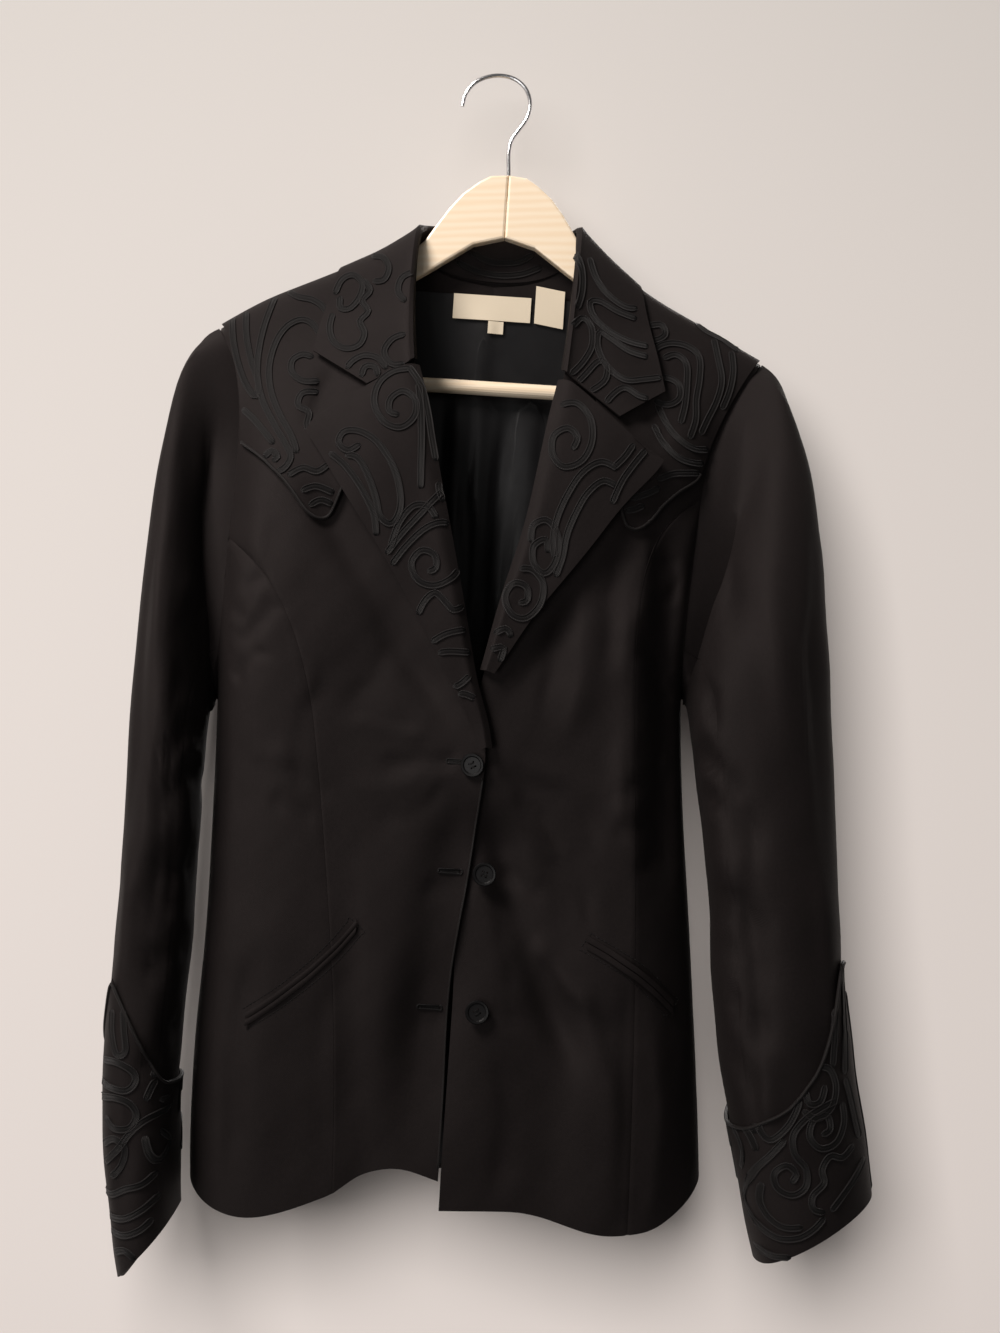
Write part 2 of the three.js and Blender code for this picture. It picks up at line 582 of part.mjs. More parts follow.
const yokeSpread = [0, 0.12, 0.25, 0.4, 0.55, 0.7, 0.85, 1];
for (const [side, wearer] of [['left', 'right'], ['right', 'left']]) {
  const facing = side === 'left' ? 1 : -1;
  const rows = yokeRows[side];
  const grid = rows.map((row, i) => yokeSpread.map((t) => {
    const x = mix(row.outX, row.inX, t);
    if (row.below !== undefined) {
      return layOnFront(side, x, ridgeZ(x) - row.below, layerGap + thinWall);
    }
    const tab = i === 0 ? 5 * Math.sin(Math.PI * t) : 0;
    return layOnFront(side, x, mix(row.outZ, row.inZ, t) - tab, layerGap + thinWall + 0.3);
  }));
  place(`yoke_${wearer}`, clothSheet(grid, thinWall, facing), cloth);
}

// Lapels: turned over at the roll and lying on the front. Rows run from the break up.
const lapelRows = {
  left: [
    { rollX: 11.5, rollZ: -407, edgeX: 8, edgeZ: -409 },
    { rollX: 8, rollZ: -388, edgeX: 0, edgeZ: -391 },
    { rollX: 0, rollZ: -368, edgeX: -14, edgeZ: -368 },
    { rollX: -6, rollZ: -344, edgeX: -29, edgeZ: -341 },
    { rollX: -12, rollZ: -316, edgeX: -49, edgeZ: -308 },
    { rollX: -20, rollZ: -284, edgeX: -71, edgeZ: -274 },
    { rollX: -28, rollZ: -252, edgeX: -94, edgeZ: -244 },
    { rollX: -38, rollZ: -214, edgeX: -115, edgeZ: -214 },
    { rollX: -46, rollZ: -178, edgeX: -126, edgeZ: -200 },
    { rollX: -52, rollZ: -158, edgeX: -122, edgeZ: -191 },
    { rollX: -56, rollZ: -146, edgeX: -117, edgeZ: -187 },
  ],
  right: [
    { rollX: 6.4, rollZ: -354, edgeX: 13, edgeZ: -356 },
    { rollX: 9, rollZ: -343, edgeX: 21, edgeZ: -343 },
    { rollX: 14, rollZ: -317, edgeX: 36, edgeZ: -316 },
    { rollX: 21, rollZ: -288, edgeX: 57, edgeZ: -288 },
    { rollX: 29, rollZ: -260, edgeX: 76, edgeZ: -262 },
    { rollX: 34, rollZ: -232, edgeX: 92, edgeZ: -236 },
    { rollX: 38, rollZ: -204, edgeX: 113, edgeZ: -213 },
    { rollX: 42.2, rollZ: -176, edgeX: 118, edgeZ: -204 },
    { rollX: 45.2, rollZ: -161, edgeX: 108, edgeZ: -198 },
    { rollX: 47, rollZ: -151, edgeX: 100, edgeZ: -193 },
  ],
};
const lapelSpread = [0.06, 0.2, 0.38, 0.58, 0.79, 1];
const leafLift = 2 * layerGap + thinWall + clothWall + 1.2;
for (const [side, wearer] of [['left', 'right'], ['right', 'left']]) {
  const facing = side === 'left' ? 1 : -1;
  const grid = lapelRows[side].map((row) => {
    const width = Math.hypot(row.edgeX - row.rollX, row.edgeZ - row.rollZ);
    const leaf = lapelSpread.map((t) => {
      const x = mix(row.rollX, row.edgeX, t);
      const z = mix(row.rollZ, row.edgeZ, t);
      const rollPad = 2.5 * (1 - t) * clamp01(width / 30);
      return layOnFront(side, x, z, leafLift + rollPad);
    });
    const edge = onFront(side, row.rollX, row.rollZ);
    const away = facing * 3.4;
    const behind = new THREE.Vector3(edge.x + away * 0.62, edge.y + 1.8, edge.z);
    const turned = new THREE.Vector3(edge.x + away, edge.y - 2.6, edge.z);
    return [...leaf.reverse(), turned, behind];
  });
  place(`lapel_${wearer}`, clothSheet(grid, clothWall, facing), cloth);
}

// Collar: stand and fall in one turned-over leaf, from one front end round the back neck to the
// other. foot is the neck seam, roll the top of the stand, mid and edge lie on the garment.
// lean is the angle of the stand from upright, over the chest.
const collarRows = [
  { footX: -55, footY: -34, footZ: -140, rollX: -56, rollY: -45, rollZ: -141, lean: 75,
    face: 'front', midX: -86.5, midZ: -164.4, edgeX: -127, edgeZ: -141 },
  { footX: -58, footY: -26, footZ: -118, rollX: -59, rollY: -36.5, rollZ: -119, lean: 70,
    face: 'front', midX: -92, midZ: -134, edgeX: -126, edgeZ: -126 },
  { footX: -60.5, footY: -16, footZ: -92, rollX: -60.5, rollY: -26, rollZ: -90, lean: 60,
    face: 'front', midX: -94, midZ: -104, edgeX: -122, edgeZ: -106 },
  { footX: -62, footY: -13, footZ: -64, rollX: -60.5, rollY: -19, rollZ: -56, lean: 35,
    face: 'front', midX: -92, midZ: -79, edgeX: -118, edgeZ: -91 },
  { footX: -62.6, footY: -9.4, footZ: -52, rollX: -59, rollY: -10, rollZ: -42, lean: 12,
    face: 'front', midX: -89, midZ: -67.4, edgeX: -115, edgeZ: -80 },
  { footX: -63.5, footY: 0, footZ: -49, rollX: -58, rollY: 0, rollZ: -38, lean: 0,
    face: 'ridge', midX: -86, midZ: 0, edgeX: -111, edgeZ: 0 },
  { footX: -61, footY: 9.4, footZ: -50.5, rollX: -55, rollY: 8.5, rollZ: -36.5, lean: 0,
    face: 'back', midX: -82, midZ: -63.5, edgeX: -107, edgeZ: -76 },
  { footX: -54, footY: 11.2, footZ: -61, rollX: -50, rollY: 10.4, rollZ: -36, lean: 0,
    face: 'back', midX: -74, midZ: -70, edgeX: -99, edgeZ: -86 },
  { footX: -44, footY: 12, footZ: -67.5, rollX: -40, rollY: 11.4, rollZ: -35.5, lean: 0,
    face: 'back', midX: -55, midZ: -74, edgeX: -76, edgeZ: -99 },
  { footX: -27, footY: 13, footZ: -72, rollX: -25, rollY: 12, rollZ: -35, lean: 0,
    face: 'back', midX: -32, midZ: -76, edgeX: -42, edgeZ: -105 },
  { footX: -4, footY: 13.4, footZ: -73.5, rollX: -4, rollY: 12.4, rollZ: -35, lean: 0,
    face: 'back', midX: -4, midZ: -77, edgeX: -4, edgeZ: -107 },
  { footX: 18, footY: 13, footZ: -72, rollX: 17, rollY: 12, rollZ: -35, lean: 0,
    face: 'back', midX: 24, midZ: -76, edgeX: 32, edgeZ: -105 },
  { footX: 36, footY: 12, footZ: -66.5, rollX: 32, rollY: 11.4, rollZ: -35.5, lean: 0,
    face: 'back', midX: 46, midZ: -73, edgeX: 65, edgeZ: -98 },
  { footX: 47, footY: 11.2, footZ: -58, rollX: 42, rollY: 10.4, rollZ: -36, lean: 0,
    face: 'back', midX: 64, midZ: -66, edgeX: 86, edgeZ: -87 },
  { footX: 54, footY: 9.4, footZ: -44, rollX: 49, rollY: 8.5, rollZ: -32.5, lean: 0,
    face: 'back', midX: 71, midZ: -58.5, edgeX: 92, edgeZ: -75 },
  { footX: 56, footY: 0, footZ: -40.5, rollX: 52, rollY: 0, rollZ: -31.5, lean: 0,
    face: 'ridge', midX: 74, midZ: 0, edgeX: 95, edgeZ: 0 },
  { footX: 54.5, footY: -9.4, footZ: -45, rollX: 51.4, rollY: -10, rollZ: -37, lean: 12,
    face: 'front', midX: 76, midZ: -62.5, edgeX: 98, edgeZ: -79.5 },
  { footX: 53.4, footY: -13, footZ: -58, rollX: 51.2, rollY: -19, rollZ: -53, lean: 35,
    face: 'front', midX: 79, midZ: -75, edgeX: 102, edgeZ: -91 },
  { footX: 50.4, footY: -17, footZ: -88, rollX: 50, rollY: -27, rollZ: -86, lean: 60,
    face: 'front', midX: 82, midZ: -110, edgeX: 107, edgeZ: -110 },
  { footX: 48, footY: -28, footZ: -116, rollX: 48.4, rollY: -38, rollZ: -117, lean: 70,
    face: 'front', midX: 82, midZ: -141, edgeX: 113, edgeZ: -132 },
  { footX: 45.6, footY: -38, footZ: -142, rollX: 46.6, rollY: -49, rollZ: -143.5, lean: 75,
    face: 'front', midX: 86, midZ: -176, edgeX: 118, edgeZ: -154 },
];

function layOnGarment(face, x, z, lift) {
  if (face === 'front') {
    return layOnFront(x < 0 ? 'left' : 'right', x, z, lift);
  }
  if (face === 'ridge') {
    const slope = Math.atan((ridgeZ(x + 3) - ridgeZ(x - 3)) / 6);
    const out = new THREE.Vector3(-Math.sin(slope), 0, Math.cos(slope));
    return out.multiplyScalar(lift).add(new THREE.Vector3(x, 0, ridgeZ(x)));
  }
  const point = onBack(x, z);
  const up = onBack(x, z).sub(onBack(x, z - 1.5));
  const across = onBack(x + 1.5, z).sub(onBack(x - 1.5, z));
  return point.addScaledVector(up.cross(across).normalize(), lift);
}

const collarGrid = collarRows.map((row) => {
  const foot = new THREE.Vector3(row.footX, row.footY, row.footZ);
  const roll = new THREE.Vector3(row.rollX, row.rollY, row.rollZ);
  const lift = row.face === 'back' ? layerGap + clothWall + 1.4 : leafLift;
  const mid = layOnGarment(row.face, row.midX, row.midZ, lift + 0.4);
  const edge = layOnGarment(row.face, row.edgeX, row.edgeZ, lift);
  const half = layOnGarment(
    row.face, mix(row.midX, row.edgeX, 0.5), mix(row.midZ, row.edgeZ, 0.5), lift + 0.3,
  );
  const lean = THREE.MathUtils.degToRad(row.lean);
  const up = new THREE.Vector3(0, -Math.sin(lean), Math.cos(lean));
  const out = mid.clone().sub(roll);
  out.addScaledVector(up, -out.dot(up)).normalize();
  const shaped = (along, rise) => roll.clone().addScaledVector(out, along).addScaledVector(up, rise);
  const quarter = shaped(6, -3.2).lerp(mid, 0.45);
  return [foot, shaped(-0.6, -4), shaped(0.6, -0.6), shaped(3.6, 0.2), shaped(6, -2.6), quarter,
    mid, half, edge];
});
place('collar', clothSheet(collarGrid, clothWall, -1), cloth);

// Lining of the back, seen in the neck, with a soft centre pleat
const liningRows = [-712, -640, -560, -480, -400, -330, -270, -215, -165, -125, -98, -84];
const liningSpread = [0, 0.12, 0.25, 0.36, 0.43, 0.49, 0.52, 0.58, 0.7, 0.85, 1];
const liningGrid = liningRows.map((height, i) => {
  const narrow = ease((height + 125) / 60);
  const wide = ease((-300 - height) / 120);
  const leftEnd = mix(mix(-128, -150, wide), -58, narrow);
  const rightEnd = mix(mix(112, 130, wide), 46, narrow);
  return liningSpread.map((t, j) => {
    const x = mix(leftEnd, rightEnd, t);
    const pleat = j === 5 ? 3.4 : 0;
    const slack = i > 0 && i < liningRows.length - 1 ? 1.6 : 0;
    const edge = i === 0 || j === 0 || j === liningSpread.length - 1;
    const off = clothWall + 2.9 + (edge ? 0 : slack) + pleat * ease((-80 - height) / 60);
    return new THREE.Vector3(x, backY(x, height) - off, height);
  });
});
place('lining_back', clothSheet(liningGrid, 1, 1), satin);

function liningY(x, z) {
  const row = liningRows.findIndex((height) => height >= z);
  const upper = row < 0 ? liningRows.length - 1 : Math.max(row, 1);
  const at = (i) => {
    const line = liningGrid[i];
    const j = Math.max(1, line.findIndex((point) => point.x >= x));
    const t = (x - line[j - 1].x) / (line[j].x - line[j - 1].x);
    return mix(line[j - 1].y, line[j].y, t);
  };
  const t = (z - liningRows[upper - 1]) / (liningRows[upper] - liningRows[upper - 1]);
  return mix(at(upper - 1), at(upper), clamp01(t));
}

// Bare labels: the woven neck label, the size tab under it and the folded care label
const labels = [
  { name: 'neck_label', x: -34, z: -84, wide: 56, high: 18, tilt: 0, off: 2 },
  { name: 'size_tab', x: -8, z: -102.5, wide: 11, high: 9, tilt: 0, off: 2 },
  { name: 'care_label', x: 25, z: -75, wide: 21, high: 27, tilt: -3, off: 2.1 },
];
for (const label of labels) {
  const grid = [-1, -0.5, 0].map((down) => [0, 0.25, 0.5, 0.75, 1].map((t) => {
    const x = label.x + t * label.wide;
    const z = label.z + down * label.high + label.tilt * t;
    const near = Math.min(liningY(x, z), liningY(x - 3, z), liningY(x + 3, z));
    return new THREE.Vector3(x, near - label.off, z);
  }));
  place(label.name, clothSheet(grid, labelWall, 1), woven);
}

// Pocket welts: two narrow lips on each slanted pocket, over the princess seam
const pockets = {
  left: [
    { x: -142, z: -603 }, { x: -122, z: -588 }, { x: -99, z: -568 }, { x: -83, z: -551 },
    { x: -70, z: -534 },
  ],
  right: [
    { x: 88, z: -535 }, { x: 104, z: -543 }, { x: 122, z: -553 }, { x: 136, z: -565 },
    { x: 149, z: -578 },
  ],
};
const weltWidth = 4.4;
const weltSteps = 12;
for (const [side, wearer] of [['left', 'right'], ['right', 'left']]) {
  const weltLift = side === 'left' ? 0 : 0.8;
  for (const [lip, from] of [['upper', 0.35], ['lower', -0.35 - weltWidth]]) {
    const path = pockets[side];
    const grid = [0, 0.5, 1].map((v) => {
      const line = [];
      for (let i = 0; i <= weltSteps; i++) {
        const x = mix(path[0].x, path[path.length - 1].x, i / weltSteps);
        const z = lookUp(path, 'x', 'z', x) + from + v * weltWidth;
        const bulge = v === 0.5 ? 0.5 : 0;
        line.push(layOnFront(side, x, z, layerGap + thinWall + weltLift + bulge));
      }
      return line;
    });
    place(`pocket_welt_${lip}_${wearer}`, clothSheet(grid, thinWall, 1), cloth);
  }
}

// Solids joined or cut
function toSolid(geometry) {
  const bare = geometry.clone();
  bare.deleteAttribute('normal');
  bare.deleteAttribute('uv');
  const merged = mergeVertices(bare, 1e-4);
  return new wasm.Manifold(new wasm.Mesh({
    numProp: 3,
    vertProperties: new Float32Array(merged.attributes.position.array),
    triVerts: new Uint32Array(merged.index.array),
  }));
}
function toGeometry(solid) {
  const mesh = solid.getMesh();
  const geometry = new THREE.BufferGeometry();
  geometry.setAttribute('position', new THREE.BufferAttribute(mesh.vertProperties, 3));
  geometry.setIndex(new THREE.BufferAttribute(mesh.triVerts, 1));
  return geometry;
}

// Buttons: rimmed discs with four sewing holes
const buttonRadius = 8.2;
const buttonProfile = [
  { r: 0, h: 0 }, { r: 6.4, h: 0 }, { r: 7.8, h: 0.7 }, { r: 8.2, h: 1.7 }, { r: 7.6, h: 2.7 },
  { r: 6.4, h: 2.5 }, { r: 5.6, h: 1.7 }, { r: 0, h: 1.6 },
];
const holeOffset = 1.6;
const holeRadius = 0.75;
function buttonGeometry() {
  const profile = buttonProfile.map((row) => new THREE.Vector2(row.r, row.h));
  let solid = toSolid(new THREE.LatheGeometry(profile, 20));
  for (const sx of [-1, 1]) {
    for (const sz of [-1, 1]) {
      const hole = new THREE.CylinderGeometry(holeRadius, holeRadius, 8, 6);
      hole.translate(sx * holeOffset, 1, sz * holeOffset);
      solid = solid.subtract(toSolid(hole));
    }
  }
  return toGeometry(solid);
}
const buttons = [
  { name: 'button_1', side: 'left', x: 2.5, z: -419, turn: 20 },
  { name: 'button_2', side: 'right', x: 15, z: -493, turn: 40 },
  { name: 'button_3', side: 'right', x: 16, z: -587, turn: 10 },
];
for (const button of buttons) {
  const seat = layOnFront(button.side, button.x, button.z, 0);
  const reach = buttonRadius - 1;
  let lift = 0.35;
  const normal = layOnFront(button.side, button.x, button.z, 1).sub(seat).normalize();
  for (const [dx, dz] of [[-1, 0], [1, 0], [0, 1], [0, -1], [0.7, 0.7], [-0.7, -0.7]]) {
    const x = button.x + dx * reach;
    const z = button.z + dz * reach;
    const rise = onFront(button.side, x, z).sub(seat).dot(normal);
    lift = Math.max(lift, rise + 0.45);
  }
  const mesh = place(button.name, buttonGeometry(), horn);
  mesh.position.copy(seat.addScaledVector(normal, lift));
  const tilt = new THREE.Quaternion().setFromUnitVectors(new THREE.Vector3(0, 1, 0), normal);
  const spin = new THREE.Quaternion().setFromAxisAngle(
    new THREE.Vector3(0, 1, 0), THREE.MathUtils.degToRad(button.turn),
  );
  mesh.quaternion.copy(tilt.multiply(spin));
}

// Hanger: two wooden arms mitred at the middle, a dowel bar between their ends, a wire hook
const woodThick = 11;
const woodBevel = 1.6;
const mitreGap = 0.3;
const armOutline = [
  { x: 0, z: 0 }, { x: 13, z: -1.2 }, { x: 21, z: -6 }, { x: 32, z: -15 }, { x: 41, z: -26 },
  { x: 49, z: -38 }, { x: 57, z: -50.6 }, { x: 66, z: -59 }, { x: 80, z: -69 },
  { x: 100, z: -82.8 }, { x: 120, z: -94.8 }, { x: 142, z: -105 }, { x: 164, z: -117 },
  { x: 173, z: -123 }, { x: 178, z: -132 }, { x: 178, z: -145 }, { x: 174.5, z: -158 },
  { x: 167, z: -164 }, { x: 158, z: -163 }, { x: 153, z: -158 }, { x: 153, z: -147 },
  { x: 147, z: -137 }, { x: 122, z: -118 }, { x: 84, z: -93 }, { x: 48, z: -69 },
  { x: 22, z: -51 }, { x: 0, z: -45 },
];
const boreRadius = 1.9;
const boreDepth = 18;
const wireRadius = 1.5;
for (const [sign, wearer] of [[-1, 'right'], [1, 'left']]) {
  const shape = new THREE.Shape();
  armOutline.forEach((point, i) => {
    const x = Math.max(point.x, mitreGap / 2) * sign;
    shape[i === 0 ? 'moveTo' : 'lineTo'](x, point.z);
  });
  shape.closePath();
  const arm = new THREE.ExtrudeGeometry(shape, {
    depth: woodThick - 2 * woodBevel,
    bevelEnabled: true,
    bevelThickness: woodBevel,
    bevelSize: woodBevel,
    bevelOffset: -woodBevel,
    bevelSegments: 2,
    steps: 1,
  });
  arm.translate(0, 0, -woodThick / 2 + woodBevel);
  arm.rotateX(Math.PI / 2);
  const bore = new THREE.CylinderGeometry(boreRadius, boreRadius, 2 * boreDepth, 16);
  bore.rotateX(Math.PI / 2);
  bore.rotateY(-rollAngle);
  place(`hanger_arm_${wearer}`, toGeometry(toSolid(arm).subtract(toSolid(bore))), pine);
}

const barRadius = 5.2;
const barHalf = 152.65;
const bar = new THREE.CylinderGeometry(barRadius, barRadius, 2 * barHalf, 20);
bar.rotateZ(Math.PI / 2);
place('hanger_bar', bar, pine).position.set(0, 0, -152.5);

const hookLine = [
  { x: -27, z: -20.5 }, { x: -25, z: -12.5 }, { x: -18.5, z: -4 }, { x: -10, z: 0.2 },
  { x: 0, z: 1.5 }, { x: 10.5, z: -1 }, { x: 18.5, z: -8 }, { x: 21.6, z: -18 },
  { x: 19.6, z: -28.5 }, { x: 13.5, z: -37.5 }, { x: 8.2, z: -45 }, { x: 6.2, z: -54 },
  { x: 6.2, z: -66 }, { x: 6.2, z: -88 },
];
const hookPath = new THREE.CatmullRomCurve3(
  hookLine.map((point) => new THREE.Vector3(point.x, 0, point.z)), false, 'centripetal',
);
const wireSection = new THREE.Shape();
wireSection.absarc(0, 0, wireRadius, 0, 2 * Math.PI);
const wire = new THREE.ExtrudeGeometry(wireSection, {
  steps: 44, curveSegments: 5, extrudePath: hookPath, bevelEnabled: false,
});
place('hanger_hook', wire, steel, blazer);

export default blazer;
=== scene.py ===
import itertools
import math

import bmesh
import bpy
import numpy as np
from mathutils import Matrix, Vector
from mathutils.bvhtree import BVHTree
from mathutils.kdtree import KDTree


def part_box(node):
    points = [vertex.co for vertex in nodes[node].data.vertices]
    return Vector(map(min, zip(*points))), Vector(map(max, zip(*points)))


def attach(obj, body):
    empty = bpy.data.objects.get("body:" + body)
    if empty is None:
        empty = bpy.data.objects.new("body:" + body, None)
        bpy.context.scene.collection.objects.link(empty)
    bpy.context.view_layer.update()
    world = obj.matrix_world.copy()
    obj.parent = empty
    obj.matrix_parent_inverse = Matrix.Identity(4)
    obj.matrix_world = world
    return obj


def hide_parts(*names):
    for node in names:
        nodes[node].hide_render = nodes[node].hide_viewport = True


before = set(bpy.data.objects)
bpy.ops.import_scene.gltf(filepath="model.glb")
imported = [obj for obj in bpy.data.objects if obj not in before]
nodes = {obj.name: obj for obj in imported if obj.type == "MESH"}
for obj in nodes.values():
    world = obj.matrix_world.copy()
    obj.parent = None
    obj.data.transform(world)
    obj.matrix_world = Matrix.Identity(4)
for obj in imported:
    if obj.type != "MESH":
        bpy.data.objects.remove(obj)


def writeSize():
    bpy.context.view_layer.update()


writeSize()
mm = 0.001
scene = bpy.context.scene

# The garment hangs turned by this much about the foot of the hook's stem
tilt = math.radians(3.7)
stemFoot = (6.2, -71.4)
cosTilt, sinTilt = math.cos(tilt), math.sin(tilt)


def toWorld(x, y, z):
    # From the hung garment's millimetres to the row frame's metres
    return Vector((
        (stemFoot[0] + x * cosTilt + z * sinTilt) * mm,
        y * mm,
        (stemFoot[1] - x * sinTilt + z * cosTilt) * mm,
    ))


def toHung(points):
    # Back again, for an array of points
    dx = points[:, 0] / mm - stemFoot[0]
    dz = points[:, 2] / mm - stemFoot[1]
    return np.stack(
        [dx * cosTilt - dz * sinTilt, points[:, 1] / mm, dx * sinTilt + dz * cosTilt], axis=1
    )


def readPoints(mesh, what="co"):
    values = np.zeros(len(mesh.vertices) * 3)
    mesh.vertices.foreach_get(what, values)
    return values.reshape(-1, 3)


def writePoints(mesh, points):
    mesh.vertices.foreach_set("co", points.ravel())
    mesh.update()


def smoothStep(t):
    t = np.clip(t, 0, 1)
    return t * t * (3 - 2 * t)


def addObject(name, mesh):
    piece = bpy.data.objects.new(name, mesh)
    scene.collection.objects.link(piece)
    return piece


# How often each cut piece is divided, and its flat width, length and area in metres
clothColumns = ("level", "wide", "long", "area")
clothRows = {
    "front_right": (3, 0.2, 0.67, 0.073),
    "front_left": (3, 0.2, 0.7, 0.079),
    "side_front_right": (3, 0.12, 0.49, 0.049),
    "side_front_left": (3, 0.1, 0.52, 0.031),
    "back_right": (2, 0.22, 0.68, 0.119),
    "back_left": (2, 0.24, 0.68, 0.112),
    "sleeve_top_right": (2, 0.19, 0.67, 0.082),
    "sleeve_top_left": (2, 0.2, 0.65, 0.094),
    "sleeve_under_right": (2, 0.13, 0.58, 0.047),
    "sleeve_under_left": (2, 0.16, 0.57, 0.0605),
    "cuff_right": (2, 0.24, 0.21, 0.03),
    "cuff_left": (2, 0.27, 0.22, 0.0335),
    "yoke_right": (2, 0.14, 0.21, 0.018),
    "yoke_left": (2, 0.13, 0.21, 0.0165),
    "lapel_right": (2, 0.13, 0.28, 0.014),
    "lapel_left": (2, 0.13, 0.21, 0.011),
    "collar": (2, 0.42, 0.13, 0.034),
    "lining_back": (2, 0.32, 0.65, 0.165),
    "pocket_welt_upper_right": (2, 0.1, 0.012, 0.0004),
    "pocket_welt_lower_right": (2, 0.1, 0.012, 0.0004),
    "pocket_welt_upper_left": (2, 0.1, 0.012, 0.0004),
    "pocket_welt_lower_left": (2, 0.1, 0.012, 0.0004),
    "neck_label": (3, 0.057, 0.021, 0.0011),
    "size_tab": (3, 0.012, 0.01, 0.0001),
    "care_label": (3, 0.022, 0.028, 0.0006),
}
clothPieces = {name: dict(zip(clothColumns, row)) for name, row in clothRows.items()}
sides = ("right", "left")


def bothSides(first, second):
    return [(f"{first}_{side}", f"{second}_{side}") for side in sides]


seamPairs = [
    *bothSides("front", "side_front"), *bothSides("side_front", "back"),
    ("back_right", "back_left"), *bothSides("sleeve_top", "sleeve_under"),
]
armholes = {"top": ("front", "side_front", "back"), "under": ("side_front", "back")}
for side, (half, bodies) in itertools.product(sides, armholes.items()):
    seamPairs += [(f"sleeve_{half}_{side}", f"{body}_{side}") for body in bodies]
# How far apart vertices may be and still be joined across a seam, a sleeve's own and the rest
seamReach = 2.7 * mm
sleeveReach = 3.8 * mm
# Where each princess seam runs into the armhole, in hung millimetres
seamCorners = {"right": (-175.5, -37.5, -274), "left": (146, -32.5, -226.5)}
cornerReach = 7 * mm
weldReach = 0.02 * mm
quadBend, quadSkew = math.radians(30), math.radians(60)
# Sharper edges than this are the rim of a piece
rimAngle = math.radians(52)
# Vertices of these this near the plane y = 0 are laid in it
ridgeNodes = ("front_right", "front_left", "back_right", "back_left")
ridgeReach = 1.3 * mm
# How deep a sewn seam lies
valleyDepth = 0.45 * mm
touchReach = 0.05 * mm


def baseForm(name):
    form = bmesh.new()
    form.from_mesh(nodes[name].data)
    bmesh.ops.remove_doubles(form, verts=form.verts, dist=weldReach)
    bmesh.ops.join_triangles(
        form, faces=form.faces, angle_face_threshold=quadBend, angle_shape_threshold=quadSkew,
    )
    form.verts.layers.float.new("crease_vert")
    form.verts.ensure_lookup_table()
    return form


def pointTree(entries):
    entries = list(entries)
    tree = KDTree(len(entries))
    for index, point in entries:
        tree.insert(point, index)
    tree.balance()
    return tree


def matchVertices(first, second, reach):
    # Pairs of vertices that are each other's nearest across a seam
    firstTree, secondTree = (
        pointTree((vertex.index, vertex.co) for vertex in form.verts) for form in (first, second)
    )
    pairs = []
    for vertex in first.verts:
        _, index, distance = secondTree.find(vertex.co)
        if distance < reach:
            _, back, _ = firstTree.find(second.verts[index].co)
            if back == vertex.index:
                pairs.append((vertex.index, index))
    return pairs


def closeCorner(side):
    # The ends of both seams gather on one vertex of the sleeve, outside and inside alike
    middle = toWorld(*seamCorners[side])
    gathered = {True: [], False: []}
    for name in (f"sleeve_top_{side}", f"front_{side}", f"side_front_{side}"):
        form = forms[name]
        form.normal_update()
        pinned = form.verts.layers.float["crease_vert"]
        for vertex in form.verts:
            if (vertex.co - middle).length < cornerReach:
                vertex[pinned] = 1
                gathered[vertex.normal.y < 0].append(vertex)
    for vertices in gathered.values():
        place = vertices[0].co.copy()
        for vertex in vertices:
            vertex.co = place


def closeSeams(forms):
    # Vertices that meet across a seam take their common middle
    group = {}
    members = {}
    for first, second in seamPairs:
        along = first.startswith("sleeve_top") and second.startswith("sleeve_under")
        pairs = matchVertices(forms[first], forms[second], sleeveReach if along else seamReach)
        if first == "back_right":
            # the centre-back seam runs out square at the hem
            lowest = min(forms[first].verts[a].co.z for a, _ in pairs)
            for name, end in ((first, 0), (second, 1)):
                pinned = forms[name].verts.layers.float["crease_vert"]
                for pair in pairs:
                    vertex = forms[name].verts[pair[end]]
                    if vertex.co.z < lowest + seamReach:
                        vertex[pinned] = 1
        for a, b in pairs:
            keyA, keyB = (first, a), (second, b)
            rootA, rootB = group.setdefault(keyA, keyA), group.setdefault(keyB, keyB)
            members.setdefault(rootA, {keyA})
            members.setdefault(rootB, {keyB})
            if rootA != rootB:
                for key in members[rootB]:
                    group[key] = rootA
                members[rootA] |= members.pop(rootB)
    for keys in members.values():
        # where three pieces meet, the corner of each stays sharp
        if len({name for name, _ in keys}) > 2:
            for name, index in keys:
                layer = forms[name].verts.layers.float["crease_vert"]
                forms[name].verts[index][layer] = 1
        if len(keys) > 1:
            places = [forms[name].verts[index].co for name, index in sorted(keys)]
            middle = sum(places, Vector()) / len(places)
            for place in places:
                place[:] = middle


def smoothForm(name, form, level):
    bmesh.ops.remove_doubles(form, verts=form.verts, dist=weldReach / 2)
    crease = form.edges.layers.float.new("crease_edge")
    for edge in form.edges:
        if len(edge.link_faces) == 2 and edge.calc_face_angle(0) > rimAngle:
            edge[crease] = 1
    mesh = bpy.data.meshes.new(name + "_base")
    form.to_mesh(mesh)
    form.free()
    base = addObject(name + "_base", mesh)
    divide = base.modifiers.new("divide", "SUBSURF")
    divide.levels = divide.render_levels = level
    graph = bpy.context.evaluated_depsgraph_get()
    shell = bpy.data.meshes.new_from_object(base.evaluated_get(graph))
    shell.name = name + "_cloth"
    bpy.data.objects.remove(base)
    bpy.data.meshes.remove(mesh)
    return shell


